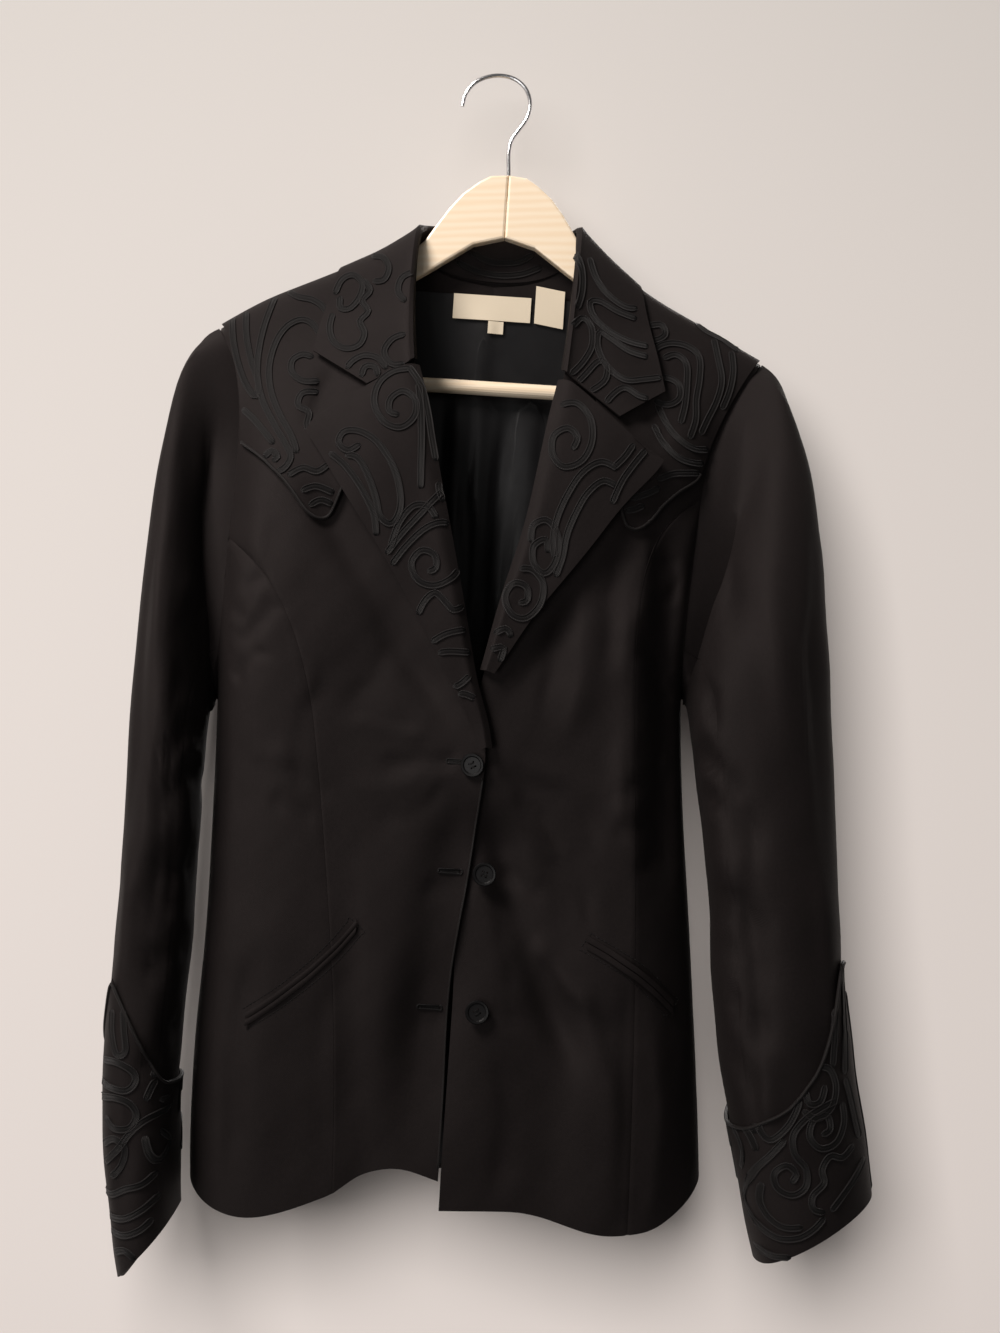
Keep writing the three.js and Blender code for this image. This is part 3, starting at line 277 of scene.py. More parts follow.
def rimOf(shell):
    # The vertices along the cut edges, which are also shaded as sharp
    creases = np.zeros(len(shell.edges), dtype=np.float32)
    if "crease_edge" in shell.attributes:
        shell.attributes["crease_edge"].data.foreach_get("value", creases)
        shell.attributes.remove(shell.attributes["crease_edge"])
    if "crease_vert" in shell.attributes:
        shell.attributes.remove(shell.attributes["crease_vert"])
    sharp = creases > 0.5
    ends = np.zeros(len(shell.edges) * 2, dtype=np.int32)
    shell.edges.foreach_get("vertices", ends)
    shell.edges.foreach_set("use_edge_sharp", sharp)
    shell.polygons.foreach_set("use_smooth", np.ones(len(shell.polygons), dtype=bool))
    return np.unique(ends.reshape(-1, 2)[sharp])


forms = {name: baseForm(name) for name in clothPieces}
for side in seamCorners:
    closeCorner(side)
closeSeams(forms)
for name in ridgeNodes:
    for vertex in forms[name].verts:
        if abs(vertex.co.y) < ridgeReach:
            vertex.co.y = 0
shells, rims = {}, {}
for name, form in forms.items():
    level = clothPieces[name]["level"] - 0
    shells[name] = smoothForm(name, form, level)
    rims[name] = rimOf(shells[name])
print("cloth shells", sum(len(shell.polygons) * 2 for shell in shells.values()))


def seamTouches(first, second):
    # Vertices of two pieces that lie on each other
    points = readPoints(shells[second])
    tree = pointTree((int(index), points[index]) for index in rims[second])
    found = []
    points = readPoints(shells[first])
    for index in rims[first]:
        _, other, distance = tree.find(points[index])
        if distance is not None and distance < touchReach:
            found.append((int(index), other))
    return found


touches = {pair: seamTouches(*pair) for pair in seamPairs}
print("seams closed", sum(len(found) for found in touches.values()))

# Each runs from x0, z0 to x1, z1 in the hung garment's millimetres, bows out by bow at its
# middle and is 2 * width across. Positive depths are troughs, negative ones ridges, all
# times relief.
relief = 2.3
frontCreases = [
    # from button 1 towards the wearer's left hip
    (14, -452, 91, -634, -4, 13, 3.8), (50, -540, 101, -592, 3, 6, -1.6),
    (20, -425, 66, -480, 5, 5, 1.2), (26, -420, 92, -470, 6, 6, 0.7),
    (34, -418, 120, -455, 6, 6, -0.5), (60, -480, 96, -530, 4, 6, 0.7),
    (80, -560, 128, -650, 5, 9, 0.9), (18, -500, 40, -580, 4, 7, 0.8),
    # from button 1 towards the wearer's right side
    (-8, -414, -66, -418, 4, 5, 0.8), (-12, -424, -84, -436, 5, 6, -0.5),
    (-10, -430, -60, -462, 5, 6, 0.6), (-30, -404, -88, -398, -4, 5, -0.5),
    # bust and waist, the wearer's right
    (-62, -338, -92, -392, 6, 8, 0.4), (-104, -352, -124, -420, 4, 7, 0.5),
    (-128, -430, -96, -452, 4, 6, 0.6), (-136, -452, -104, -470, 4, 6, 0.5),
    (-150, -420, -118, -430, 3, 6, -0.4),
    # waist, the wearer's left
    (126, -420, 96, -440, -3, 6, 0.9), (132, -444, 100, -466, -3, 6, 0.8),
    (138, -404, 112, -420, 3, 5, -0.6), (140, -470, 112, -486, 3, 6, 0.7),
    # towards the underarms
    (-164, -350, -132, -318, 4, 7, 0.8), (-168, -372, -140, -350, 3, 6, 0.6),
    (-170, -330, -150, -290, -3, 6, 0.7), (132, -348, 108, -312, 4, 7, 1.0),
    (138, -366, 120, -340, 3, 6, 0.8), (136, -300, 124, -262, -3, 6, 0.9),
    # broad soft ones: the opening, beside the wearer's left arm, the skirt
    (-6, -440, -30, -704, 0, 24, 3.4), (-62, -470, -62, -716, 4, 16, -1.3),
    (122, -240, 138, -500, -3, 10, 2.4), (104, -300, 112, -480, -3, 12, -1.6),
    (-120, -520, -130, -726, -4, 20, -0.7), (110, -600, 116, -726, 4, 16, -1.0),
    # skirt, falling from the waist
    (-84, -560, -80, -712, -5, 9, 0.5), (-140, -560, -146, -730, -4, 9, 0.8),
    (122, -560, 128, -732, -4, 9, 0.9), (140, -590, 146, -722, 3, 8, -0.8),
    (34, -620, 38, -716, 4, 9, 0.7), (164, -620, 168, -706, 3, 7, 0.8),
    # chest below the yokes
    (-150, -236, -146, -330, 4, 10, 0.6), (98, -262, 90, -350, -4, 9, 0.9),
    (72, -288, 66, -400, 4, 9, -0.9), (56, -316, 50, -396, -3, 8, 0.8),
    (112, -250, 118, -360, 3, 8, -0.9),
    # light pulls at buttons 2 and 3
    (24, -496, 58, -508, 3, 5, 0.6), (6, -496, -34, -506, 3, 5, 0.5),
    (26, -590, 56, -598, 3, 5, 0.5), (4, -590, -30, -596, 3, 6, 0.4),
]
backCreases = [
    (-100, -130, -130, -210, 6, 9, 1.6), (-128, -150, -150, -240, 5, 8, -1.2),
    (84, -130, 112, -206, -6, 9, 1.6), (110, -150, 134, -232, -5, 8, -1.2),
    (-40, -150, -34, -300, 5, 10, 1.1), (28, -150, 22, -310, -5, 10, 1.1),
    (-150, -330, -104, -372, 5, 7, 1.6), (-158, -368, -108, -400, 5, 6, 1.3),
    (136, -322, 92, -366, -5, 7, 1.6), (140, -362, 96, -394, -5, 6, 1.2),
    (-146, -430, -80, -448, 5, 7, 1.5), (-132, -456, -60, -468, 5, 7, 1.1),
    (138, -424, 72, -442, -5, 7, 1.4), (128, -452, 54, -462, -5, 7, 1.1),
    (-20, -430, -64, -440, 3, 6, 1.0), (10, -436, 52, -446, 3, 6, 1.0),
    (-50, -500, -58, -706, 6, 10, 1.5), (-136, -520, -144, -712, 5, 10, 1.5),
    (-96, -560, -92, -714, -4, 9, -1.3), (46, -500, 52, -702, -6, 10, 1.5),
    (132, -520, 142, -700, 5, 10, 1.4), (92, -560, 96, -704, 4, 9, -1.2),
    (-14, -520, -16, -700, 3, 8, 1.0),
]
liningCreases = [
    (-44, -120, -38, -330, 4, 5, 1.6), (-30, -110, -27, -300, 3, 4, -1.3),
    (-18, -140, -14, -380, 3, 4, 1.4), (10, -150, 12, -400, -3, 4, 1.5),
    (24, -120, 20, -340, 3, 5, -1.3), (38, -130, 30, -360, 4, 5, 1.6),
    (-58, -110, -54, -260, 4, 5, 1.5), (-40, -200, -10, -260, 5, 5, 1.0),
    (30, -210, 4, -290, -5, 5, 1.1), (-26, -300, 4, -360, 5, 5, 1.0),
]
# Sleeve creases are seen from the front or from the back in the same millimetres
sleeveCreases = {
    "right": {
        "front": [
            (-196, -190, -204, -420, 6, 8, 2.4), (-214, -170, -224, -400, 4, 9, -1.8),
            (-224, -240, -232, -540, 3, 7, 1.4), (-190, -396, -214, -430, 5, 6, 2.2),
            (-186, -430, -216, -452, 5, 6, 1.8), (-188, -470, -222, -480, 4, 6, -1.6),
            (-187, -494, -216, -508, 4, 5, 2.3), (-190, -520, -226, -528, 5, 6, 1.7),
            (-190, -548, -214, -570, 4, 6, 1.6), (-204, -430, -212, -560, 5, 8, 1.6),
            (-226, -480, -230, -600, 3, 7, -1.4), (-192, -600, -208, -640, 4, 6, 1.3),
            (-200, -300, -190, -380, -4, 6, -1.5), (-212, -660, -218, -740, 3, 7, 1.0),
        ],
        "back": [
            (-200, -180, -214, -420, 6, 9, 1.8), (-188, -440, -226, -462, 5, 7, 1.6),
            (-190, -486, -228, -500, 5, 6, 1.8), (-192, -530, -226, -552, 4, 6, 1.4),
            (-222, -300, -230, -560, 4, 8, -1.4), (-206, -580, -214, -720, 4, 8, 1.4),
        ],
    },
    "left": {
        "front": [
            (168, -160, 176, -330, -6, 9, 1.8), (196, -190, 214, -400, -5, 10, -1.4),
            (228, -240, 246, -470, -3, 8, 1.4), (156, -392, 188, -430, -5, 6, 2.0),
            (160, -424, 204, -456, -5, 6, 1.7), (168, -470, 206, -486, -4, 6, -1.5),
            (172, -500, 214, -520, -4, 6, 2.2), (176, -530, 222, -546, -5, 6, 1.7),
            (184, -562, 216, -590, -4, 6, 1.5), (196, -440, 214, -620, -6, 8, 1.5),
            (246, -470, 262, -600, -3, 8, -1.3), (186, -598, 214, -634, -3, 6, 1.2),
            (212, -600, 222, -650, -3, 7, -1.2), (152, -350, 166, -390, 3, 5, 1.6),
        ],
        "back": [
            (176, -180, 196, -420, -6, 9, 1.8), (164, -438, 214, -466, -5, 7, 1.6),
            (172, -486, 222, -506, -5, 6, 1.8), (180, -534, 226, -556, -4, 6, 1.4),
            (232, -300, 252, -560, -4, 8, -1.4), (208, -580, 232, -700, -4, 8, 1.4),
        ],
    },
}


def creaseDepth(creases, across, up):
    # Sum of all creases at each point, in millimetres
    total = np.zeros(len(across))
    for number, (x0, z0, x1, z1, bow, width, depth) in enumerate(creases):
        run = np.hypot(x1 - x0, z1 - z0)
        alongX, alongZ = (x1 - x0) / run, (z1 - z0) / run
        reach = run / 2 + 5 * width
        near = np.flatnonzero(
            (np.abs(across - (x0 + x1) / 2) < reach) & (np.abs(up - (z0 + z1) / 2) < reach)
        )
        dx, dz = across[near] - x0, up[near] - z0
        t = (dx * alongX + dz * alongZ) / run
        # its line wanders by a millimetre or two, and one flank is steeper than the other
        wander = 1.6 * np.sin(t * 7.1 + number) + 0.7 * np.sin(t * 17.3 + 2.1 * number)
        side = dx * -alongZ + dz * alongX - bow * 4 * t * (1 - t) - wander
        flank = width * np.where(side > 0, 1.3, 0.8)
        fade = smoothStep(t / 0.22 + 0.3) * smoothStep((1 - t) / 0.35 + 0.2)
        uneven = 1 + 0.3 * np.sin(t * 9.7 + 1.7 * number)
        total[near] += relief * depth * fade * uneven * np.exp(-((side / flank) ** 2))
    return total


def softNoise(points, size, seed):
    # Slow uneven waves, from sums of sines
    x, y, z = (points[:, i] / size for i in range(3))
    return (
        np.sin(x * 1.3 + 0.7 * z + seed) * np.sin(z * 1.1 - 0.6 * x + 1.7 * seed)
        + 0.5 * np.sin(2.3 * x - 1.9 * z + 0.9 * y + 2.9 * seed)
    )


# The turned-out lapels and collar points stand off the chest, which sinks beside them
rollLines = {"lapel_right": (-53, 0.252, -1), "lapel_left": (44, -0.193, 1)}
besideLapels = [
    (-126, -234, -8, -402, 0, 12, 2.3), (120, -228, 16, -386, 0, 12, 1.7),
    (-112, -150, -128, -196, 0, 8, 1.5), (104, -160, 120, -190, 0, 8, 1.4),
]
standOff = 3
weltSink = 1
# Heights in hung millimetres, each with the length over which the cloth below it starts to crease
shoulders = (-122, 50)
neckEdge = (-140, 40)


def below(edge, up):
    level, fade = edge
    return smoothStep((level - up) / fade)


def standingOff(name, hung):
    # How far each point comes towards the viewer, in millimetres
    x, z = hung[:, 0], hung[:, 2]
    if name == "collar":
        return standOff * smoothStep((abs(x) - 55) / 45) * below((-100, 30), z)
    # the roll line runs from start at the height of the neck's edge
    start, slope, out = rollLines[name]
    beyond = out * (x - start + slope * (z - neckEdge[0]))
    return standOff * smoothStep((beyond - 8) / 40)


def torsoShift(hung, kind):
    # How far the cloth moves towards the wall, in millimetres
    across, up = hung[:, 0], hung[:, 2]
    if kind == "lining":
        # never out through the back
        shift = np.minimum(0.7 * creaseDepth(liningCreases, across, up) - 2.8, -0.4)
        return shift * below(neckEdge, up)
    if kind == "back":
        shift = -creaseDepth(backCreases, across, up) + 0.5 * softNoise(hung, size=26, seed=4.0)
        return shift * below(shoulders, up)
    shift = creaseDepth(frontCreases, across, up)
    shift += 0.3 * softNoise(hung, size=24, seed=1.0) + 0.12 * softNoise(hung, size=9, seed=2.0)
    # the shoulders lie smooth on the wood
    return shift * below(shoulders, up)


def sleeveAxis(side):
    # Middle of the sleeve at each height
    hung = np.concatenate([
        toHung(readPoints(nodes[f"sleeve_{half}_{side}"].data)) for half in ("top", "under")
    ])
    heights, middles = [], []
    spacing = 20
    for height in range(-780, shoulders[0], spacing):
        ring = hung[np.abs(hung[:, 2] - height) < 1.1 * spacing]
        if len(ring) > 6:
            heights.append(height)
            middles.append((ring.min(0) + ring.max(0))[:2] / 2)
    return np.array(heights), np.array(middles)


axes = {side: sleeveAxis(side) for side in sides}


def sleeveShift(hung, side):
    # Sleeve points move towards the sleeve's own middle line
    heights, middles = axes[side]
    away = np.stack([
        hung[:, i] - np.interp(hung[:, 2], heights, middles[:, i]) for i in (0, 1)
    ], axis=1)
    away /= np.maximum(np.linalg.norm(away, axis=1, keepdims=True), 1e-6)
    depth = 0.5 * softNoise(hung, size=22, seed=3.0 if side == "left" else 5.0)
    faces = {"front": np.clip(-2 * away[:, 1], 0, 1), "back": np.clip(2 * away[:, 1], 0, 1)}
    for face, share in faces.items():
        depth += share * creaseDepth(sleeveCreases[side][face], hung[:, 0], hung[:, 2])
    depth *= below(shoulders, hung[:, 2])
    return -away * depth[:, None]


kinds = {
    "front": ["front", "side_front", "yoke", "lapel", "pocket_welt_upper", "pocket_welt_lower"],
    "back": ["back"], "lining": ["lining_back"],
}


def shiftOf(name, points):
    # The move of each point of a piece, in metres in the row frame
    hung = toHung(points)
    move = np.zeros_like(points)
    stem = name.rsplit("_", 1)[0]
    if stem in ("sleeve_top", "sleeve_under", "cuff"):
        shift = sleeveShift(hung, name.rsplit("_", 1)[1])
        move[:, 0] = shift[:, 0] * cosTilt * mm
        move[:, 1] = shift[:, 1] * mm
        move[:, 2] = -shift[:, 0] * sinTilt * mm
        return move
    for kind, stems in kinds.items():
        if stem in stems or name in stems:
            move[:, 1] = torsoShift(hung, kind) * mm
    if stem.startswith("pocket"):
        move[:, 1] += weltSink * mm
    if stem in ("front", "yoke"):
        move[:, 1] += creaseDepth(besideLapels, hung[:, 0], hung[:, 2]) * mm
    if name in rollLines or name == "collar":
        move[:, 1] -= standingOff(name, hung) * mm
    return move


def isStill(pair):
    # Seams between parts that move in different ways stay where they are
    first, second = (name.rsplit("_", 1)[0] for name in pair)
    return (first, second) not in (
        ("front", "side_front"), ("back", "back"), ("sleeve_top", "sleeve_under"),
    )


stillPoints = []
for pair, found in touches.items():
    if isStill(pair):
        points = readPoints(shells[pair[0]])
        stillPoints.extend(points[index] for index, _ in found)
stillTree = pointTree(enumerate(stillPoints))
stillReach = 16 * mm
stillStems = ("front", "side_front", "back", "sleeve_top", "sleeve_under")
for name, shell in shells.items():
    points = readPoints(shell)
    move = shiftOf(name, points)
    if name.rsplit("_", 1)[0] in stillStems:
        distances = np.array([stillTree.find(point)[2] for point in points])
        move *= smoothStep(distances / stillReach)[:, None]
    writePoints(shell, points + move)

# A sewn seam sinks a little
for (first, second), found in touches.items():
    if not found:
        continue
    firstPoints, secondPoints = readPoints(shells[first]), readPoints(shells[second])
    firstNormals = readPoints(shells[first], "normal")
    secondNormals = readPoints(shells[second], "normal")
    a, b = (np.array(side) for side in zip(*found))
    normals = firstNormals[a] + secondNormals[b]
    normals /= np.maximum(np.linalg.norm(normals, axis=1, keepdims=True), 1e-6)
    middle = (firstPoints[a] + secondPoints[b]) / 2 - normals * valleyDepth
    firstPoints[a], secondPoints[b] = middle, middle
    writePoints(shells[first], firstPoints)
    writePoints(shells[second], secondPoints)
print("creases and seams shaped")

# Strips with a raised cord at each edge, laid in scrolls of this part's own drawing. Points are
# x and z in the hung garment's millimetres, as seen from the front. Those of backRuns are laid on
# the face towards the wall, and in farRuns x is the way round the cuff in degrees.
braid = {"width": 5.0, "height": 1.0, "step": 2.4}
braidRuns = {
    "yoke_right": [
        [(-190, -112), (-187, -133), (-181, -152), (-173, -167), (-166, -173), (-166, -162),
         (-173, -146), (-178, -128), (-180, -110)],
        [(-160, -98), (-166, -122), (-168, -144), (-166, -162), (-160, -178), (-150, -194),
         (-141, -207), (-136, -217), (-141, -226), (-150, -226), (-155, -219), (-150, -213),
         (-145, -217), (-149, -220)],
        [(-132, -214), (-137, -202), (-148, -185), (-156, -168), (-159, -150), (-156, -132),
         (-149, -120), (-139, -115), (-130, -119), (-124, -129), (-121, -142)],
        [(-178, -180), (-167, -189), (-157, -199), (-149, -208)],
        [(-152, -93), (-144, -98), (-133, -100), (-124, -106), (-118, -118)],
        [(-122, -160), (-133, -161), (-142, -155), (-143, -146), (-136, -141), (-128, -143)],
        [(-122, -168), (-133, -170), (-135, -179), (-127, -184), (-127, -194), (-119, -200)],
        [(-137, -230), (-127, -224), (-117, -226), (-109, -220)],
        [(-127, -240), (-117, -236), (-104, -240)],
        [(-121, -250), (-113, -245), (-102, -249)],
    ],
    "yoke_left": [
        [(95, -100), (106, -103), (115, -102), (118, -109), (110, -114), (98, -113)],
        [(109, -130), (112, -120), (122, -115), (134, -116), (143, -123), (144, -138), (142, -155),
         (142, -170), (138, -184)],
        [(117, -127), (126, -123), (134, -129), (135, -143), (134, -160), (131, -174)],
        [(153, -108), (157, -124), (160, -139), (157, -154), (151, -168), (146, -180)],
        [(166, -116), (168, -131), (166, -146), (161, -160)],
        [(114, -160), (121, -174), (130, -185), (143, -191), (160, -188)],
        [(112, -176), (120, -190), (131, -199), (144, -201), (157, -198)],
        [(108, -145), (119, -141), (129, -145), (130, -155), (122, -161), (112, -159)],
        [(116, -216), (126, -211), (137, -209), (150, -207)],
        [(92, -226), (100, -230), (110, -226), (118, -221)],
        [(92, -240), (101, -238), (108, -234)],
        [(138, -95), (148, -103), (160, -108), (172, -116)],
    ],
    "lapel_right": [
        [(-58, -150), (-70, -153), (-79, -162), (-81, -176), (-74, -189), (-62, -193), (-53, -185),
         (-53, -173), (-62, -167), (-70, -173), (-70, -182), (-63, -184)],
        [(-60, -148), (-50, -162), (-44, -180), (-40, -198), (-36, -214)],
        [(-52, -160), (-49, -178), (-47, -198), (-46, -216), (-45, -234)],
        [(-88, -206), (-96, -211), (-103, -206), (-100, -198), (-90, -197), (-78, -203),
         (-67, -216), (-60, -232), (-58, -248), (-63, -259), (-71, -255), (-75, -242), (-81, -228),
         (-89, -216), (-98, -214)],
        [(-109, -213), (-99, -220), (-89, -231), (-81, -243), (-75, -255), (-73, -268)],
        [(-68, -284), (-57, -267), (-44, -251), (-30, -234)],
        [(-64, -291), (-52, -273), (-39, -260), (-26, -256), (-17, -264), (-14, -278), (-19, -292),
         (-31, -299), (-43, -296), (-48, -285), (-42, -276), (-33, -278), (-31, -287), (-37, -290)],
        [(-63, -276), (-58, -258), (-49, -246), (-39, -246), (-33, -254)],
        [(-28, -222), (-33, -230), (-30, -240), (-23, -246)],
        [(-42, -322), (-38, -311), (-31, -304), (-24, -309), (-17, -315), (-9, -310)],
        [(-33, -339), (-21, -331), (-6, -327)],
        [(-31, -346), (-19, -343), (-4, -343)],
        [(-27, -352), (-21, -362), (-12, -366), (-3, -358)],
        [(-16, -373), (-7, -371), (2, -374)],
        [(-8, -384), (0, -382)],
    ],
    "lapel_left": [
        [(46, -170), (57, -168), (67, -178), (69, -194), (63, -208), (51, -213), (43, -205),
         (43, -192), (52, -186), (59, -192), (56, -201)],
        [(88, -212), (76, -208), (64, -216), (55, -231), (49, -247), (47, -262), (49, -276)],
        [(88, -224), (78, -221), (68, -230), (61, -244), (56, -259), (54, -274), (50, -288)],
        [(107, -196), (99, -207), (91, -220), (85, -236)],
        [(98, -193), (92, -203), (84, -212)],
        [(32, -266), (33, -254), (42, -250), (50, -260), (50, -276), (43, -286), (35, -280),
         (34, -268), (42, -263), (44, -272)],
        [(25, -284), (34, -284), (42, -293), (41, -307), (32, -317), (22, -315), (17, -304),
         (22, -294), (31, -296), (32, -305), (26, -307)],
        [(11, -329), (19, -325), (23, -331)],
        [(9, -340), (18, -338), (16, -348)],
    ],
    "collar": [
        [(-117, -96), (-113, -85), (-105, -81), (-98, -87), (-99, -97), (-105, -106), (-112, -106),
         (-113, -97)],
        [(-98, -84), (-92, -92), (-97, -100), (-92, -108), (-97, -116), (-93, -125), (-96, -134),
         (-105, -137), (-114, -132), (-118, -122), (-117, -110)],
        [(-94, -66), (-85, -67), (-80, -75), (-83, -84), (-91, -85)],
        [(-62, -78), (-70, -82), (-72, -92), (-66, -100)],
        [(-102, -162), (-102, -150), (-93, -142), (-82, -143), (-75, -151)],
        [(-92, -158), (-90, -150), (-83, -150), (-81, -158), (-87, -165)],
        [(-64, -124), (-73, -128), (-78, -138), (-72, -147), (-63, -146)],
        [(50, -54), (56, -68), (57, -84), (54, -98)],
        [(61, -58), (66, -72), (75, -84), (88, -92), (97, -92)],
        [(97, -100), (83, -96), (70, -90), (63, -92), (67, -103), (78, -112), (92, -118),
         (106, -120)],
        [(51, -112), (58, -104), (65, -110), (66, -124), (60, -137), (52, -147)],
        [(106, -128), (92, -125), (79, -117), (71, -113), (70, -124), (77, -138), (90, -147),
         (104, -145), (116, -142)],
        [(54, -156), (62, -146), (71, -135), (77, -138), (76, -149), (66, -158)],
        [(74, -172), (81, -160), (90, -153), (101, -158), (112, -159)],
        # inside of the stand, seen through the neck
        [(-34, -60), (-18, -66), (-2, -68), (14, -66), (28, -60)],
        [(-24, -52), (-12, -58), (0, -59), (12, -57), (22, -51)],
    ],
    "cuff_left": [
        [(249, -536), (249, -560), (249, -584), (250, -603)],
        [(256, -534), (257, -558), (258, -584), (258, -606)],
        [(263, -540), (265, -564), (267, -588), (268, -612)],
        [(240, -606), (236, -619), (235, -632), (229, -646), (219, -657), (212, -652), (209, -641)],
        [(238, -635), (248, -640), (258, -633), (261, -620), (256, -608), (246, -607), (240, -618),
         (242, -630), (250, -629), (253, -618)],
        [(266, -630), (268, -643), (263, -656), (252, -660), (244, -652), (246, -641), (255, -638),
         (258, -647), (252, -651)],
        [(263, -628), (251, -633), (240, -641), (233, -652), (235, -665), (243, -674), (244, -686),
         (236, -693), (226, -690), (223, -680), (230, -673), (237, -678), (234, -685)],
        [(228, -655), (220, -667), (212, -679), (208, -693), (209, -707), (216, -718), (228, -724),
         (241, -722), (251, -715), (258, -706)],
        [(216, -688), (216, -701), (222, -711), (232, -716), (244, -714)],
        [(207, -639), (209, -655)],
        [(226, -624), (224, -638)],
        [(193, -652), (199, -660), (203, -671), (204, -684)],
        [(199, -648), (206, -657), (211, -667)],
        [(276, -658), (268, -666), (259, -665), (254, -674), (256, -683), (249, -692), (250, -701),
         (258, -703)],
        [(286, -668), (278, -680), (270, -691), (262, -702)],
        [(268, -614), (273, -628), (277, -642), (281, -655)],
        [(214, -735), (226, -738), (238, -736)],
    ],
    "cuff_right": [
        [(-229, -598), (-228, -613), (-223, -627), (-217, -624), (-219, -610), (-221, -594)],
        [(-217, -588), (-214, -604), (-208, -617), (-202, -614), (-203, -602)],
        [(-200, -612), (-199, -628), (-198, -642)],
        [(-236, -634), (-224, -632), (-213, -636), (-209, -643), (-214, -650), (-225, -650),
         (-236, -648)],
        [(-236, -660), (-224, -656), (-213, -658), (-207, -666), (-211, -675), (-222, -676),
         (-229, -670)],
        [(-202, -657), (-197, -644), (-189, -641), (-184, -649), (-187, -658), (-194, -657)],
        [(-228, -702), (-218, -690), (-210, -678), (-200, -669), (-186, -664)],
        [(-230, -690), (-221, -683), (-213, -689), (-215, -701), (-222, -710)],
        [(-201, -680), (-197, -693), (-191, -698), (-188, -688), (-192, -678)],
        [(-234, -722), (-222, -722), (-211, -716), (-200, -712), (-192, -705)],
        [(-224, -738), (-211, -736), (-199, -729), (-189, -720)],
        [(-222, -747), (-210, -747), (-199, -742), (-192, -735)],
        [(-218, -762), (-209, -757), (-201, -762)],
    ],
}
backRuns = {
    "collar": [
        [(-88, -62), (-78, -74), (-64, -80), (-50, -76), (-42, -64), (-46, -52), (-57, -50),
         (-60, -60), (-52, -64)],
        [(-40, -44), (-28, -56), (-20, -70), (-8, -80), (6, -76), (12, -64), (6, -54), (-4, -56),
         (-5, -66), (3, -67)],
        [(16, -42), (24, -56), (30, -70), (42, -78), (56, -74), (62, -62), (56, -52), (46, -54),
         (47, -64)],
        [(70, -58), (78, -72), (90, -80)],
        [(-96, -76), (-84, -88), (-72, -90)],
        [(-30, -74), (-36, -84), (-46, -88)],
        [(20, -76), (24, -86), (34, -90)],
    ],
}
farRuns = {
    "cuff_left": [
        [(75, -560), (80, -590), (82, -620), (78, -650), (84, -680), (80, -705)],
        [(96, -600), (108, -612), (122, -616), (134, -628), (134, -644), (122, -652), (110, -646),
         (110, -633), (120, -630), (124, -638)],
        [(100, -670), (112, -664), (126, -668), (136, -680), (132, -694), (118, -698), (108, -690),
         (114, -681)],
        [(150, -612), (160, -626), (166, -644), (162, -662), (150, -674), (146, -690)],
        [(180, -624), (192, -636), (204, -634), (212, -646), (206, -660), (192, -660), (188, -648),
         (197, -644)],
        [(178, -676), (194, -682), (212, -678), (226, -688), (236, -704)],
        [(222, -640), (234, -652), (246, -664), (254, -680), (256, -700)],
        [(240, -636), (252, -648), (264, -660), (270, -676)],
        [(160, -706), (176, -712), (194, -710), (210, -716)],
    ],
    "cuff_right": [
        [(276, -600), (268, -616), (258, -622), (250, -634), (254, -648), (266, -650), (272, -640),
         (266, -633)],
        [(244, -600), (234, -618), (230, -640), (236, -660), (232, -682), (238, -704)],
        [(212, -610), (200, -622), (190, -638), (196, -652), (210, -652), (214, -640), (206, -634)],
        [(216, -672), (202, -676), (192, -688), (196, -702), (210, -706), (218, -696)],
        [(174, -606), (164, -624), (168, -644), (178, -662), (170, -682), (174, -704)],
        [(150, -620), (138, -632), (130, -648), (136, -662), (148, -664), (152, -652)],
        [(150, -684), (136, -690), (124, -702), (114, -698)],
        [(266, -668), (256, -680), (262, -694), (274, -700), (270, -716)],
        [(116, -630), (106, -644), (100, -660), (104, -676)],
    ],
}


def smoothRun(points, step):
    # Even steps along a Catmull-Rom curve through the points
    control = np.array([points[0]] + list(points) + [points[-1]], float)
    line = []
    for i in range(len(points) - 1):
        p0, p1, p2, p3 = control[i:i + 4]
        for t in np.arange(0, 1, 0.1):
            line.append(0.5 * (
                2 * p1 + (p2 - p0) * t + (2 * p0 - 5 * p1 + 4 * p2 - p3) * t * t
                + (3 * p1 - p0 - 3 * p2 + p3) * t ** 3
            ))
    line.append(control[-2])
    line = np.array(line)
    lengths = np.concatenate([[0], np.cumsum(np.hypot(*np.diff(line, axis=0).T))])
    count = max(3, int(lengths[-1] / step) + 1)
    at = np.linspace(0, lengths[-1], count)
    return np.stack([np.interp(at, lengths, line[:, i]) for i in (0, 1)], axis=1)


def meshTree(mesh):
    return BVHTree.FromPolygons(
        [vertex.co for vertex in mesh.vertices], [face.vertices[:] for face in mesh.polygons]
    )


def braidSection():
    # Half of it, across and up in shares of the braid: a raised edge and a flatter middle
    half = [(1, -0.35), (0.98, 0.45), (0.85, 1), (0.7, 0.8), (0.57, 0.35), (0.3, 0.62), (0, 0.7)]
    across, up = braid["width"] / 2, braid["height"]
    section = [(-a * across, b * up) for a, b in half]
    return section + [(a * across, b * up) for a, b in half[-2::-1]]


castLength = 300
sleeveCastLength = 90


def frontCast(tree, x, z, facing=1):
    start = toWorld(x, -castLength * facing, z)
    place, normal, _, _ = tree.ray_cast(start, Vector((0, facing, 0)))
    return place, normal


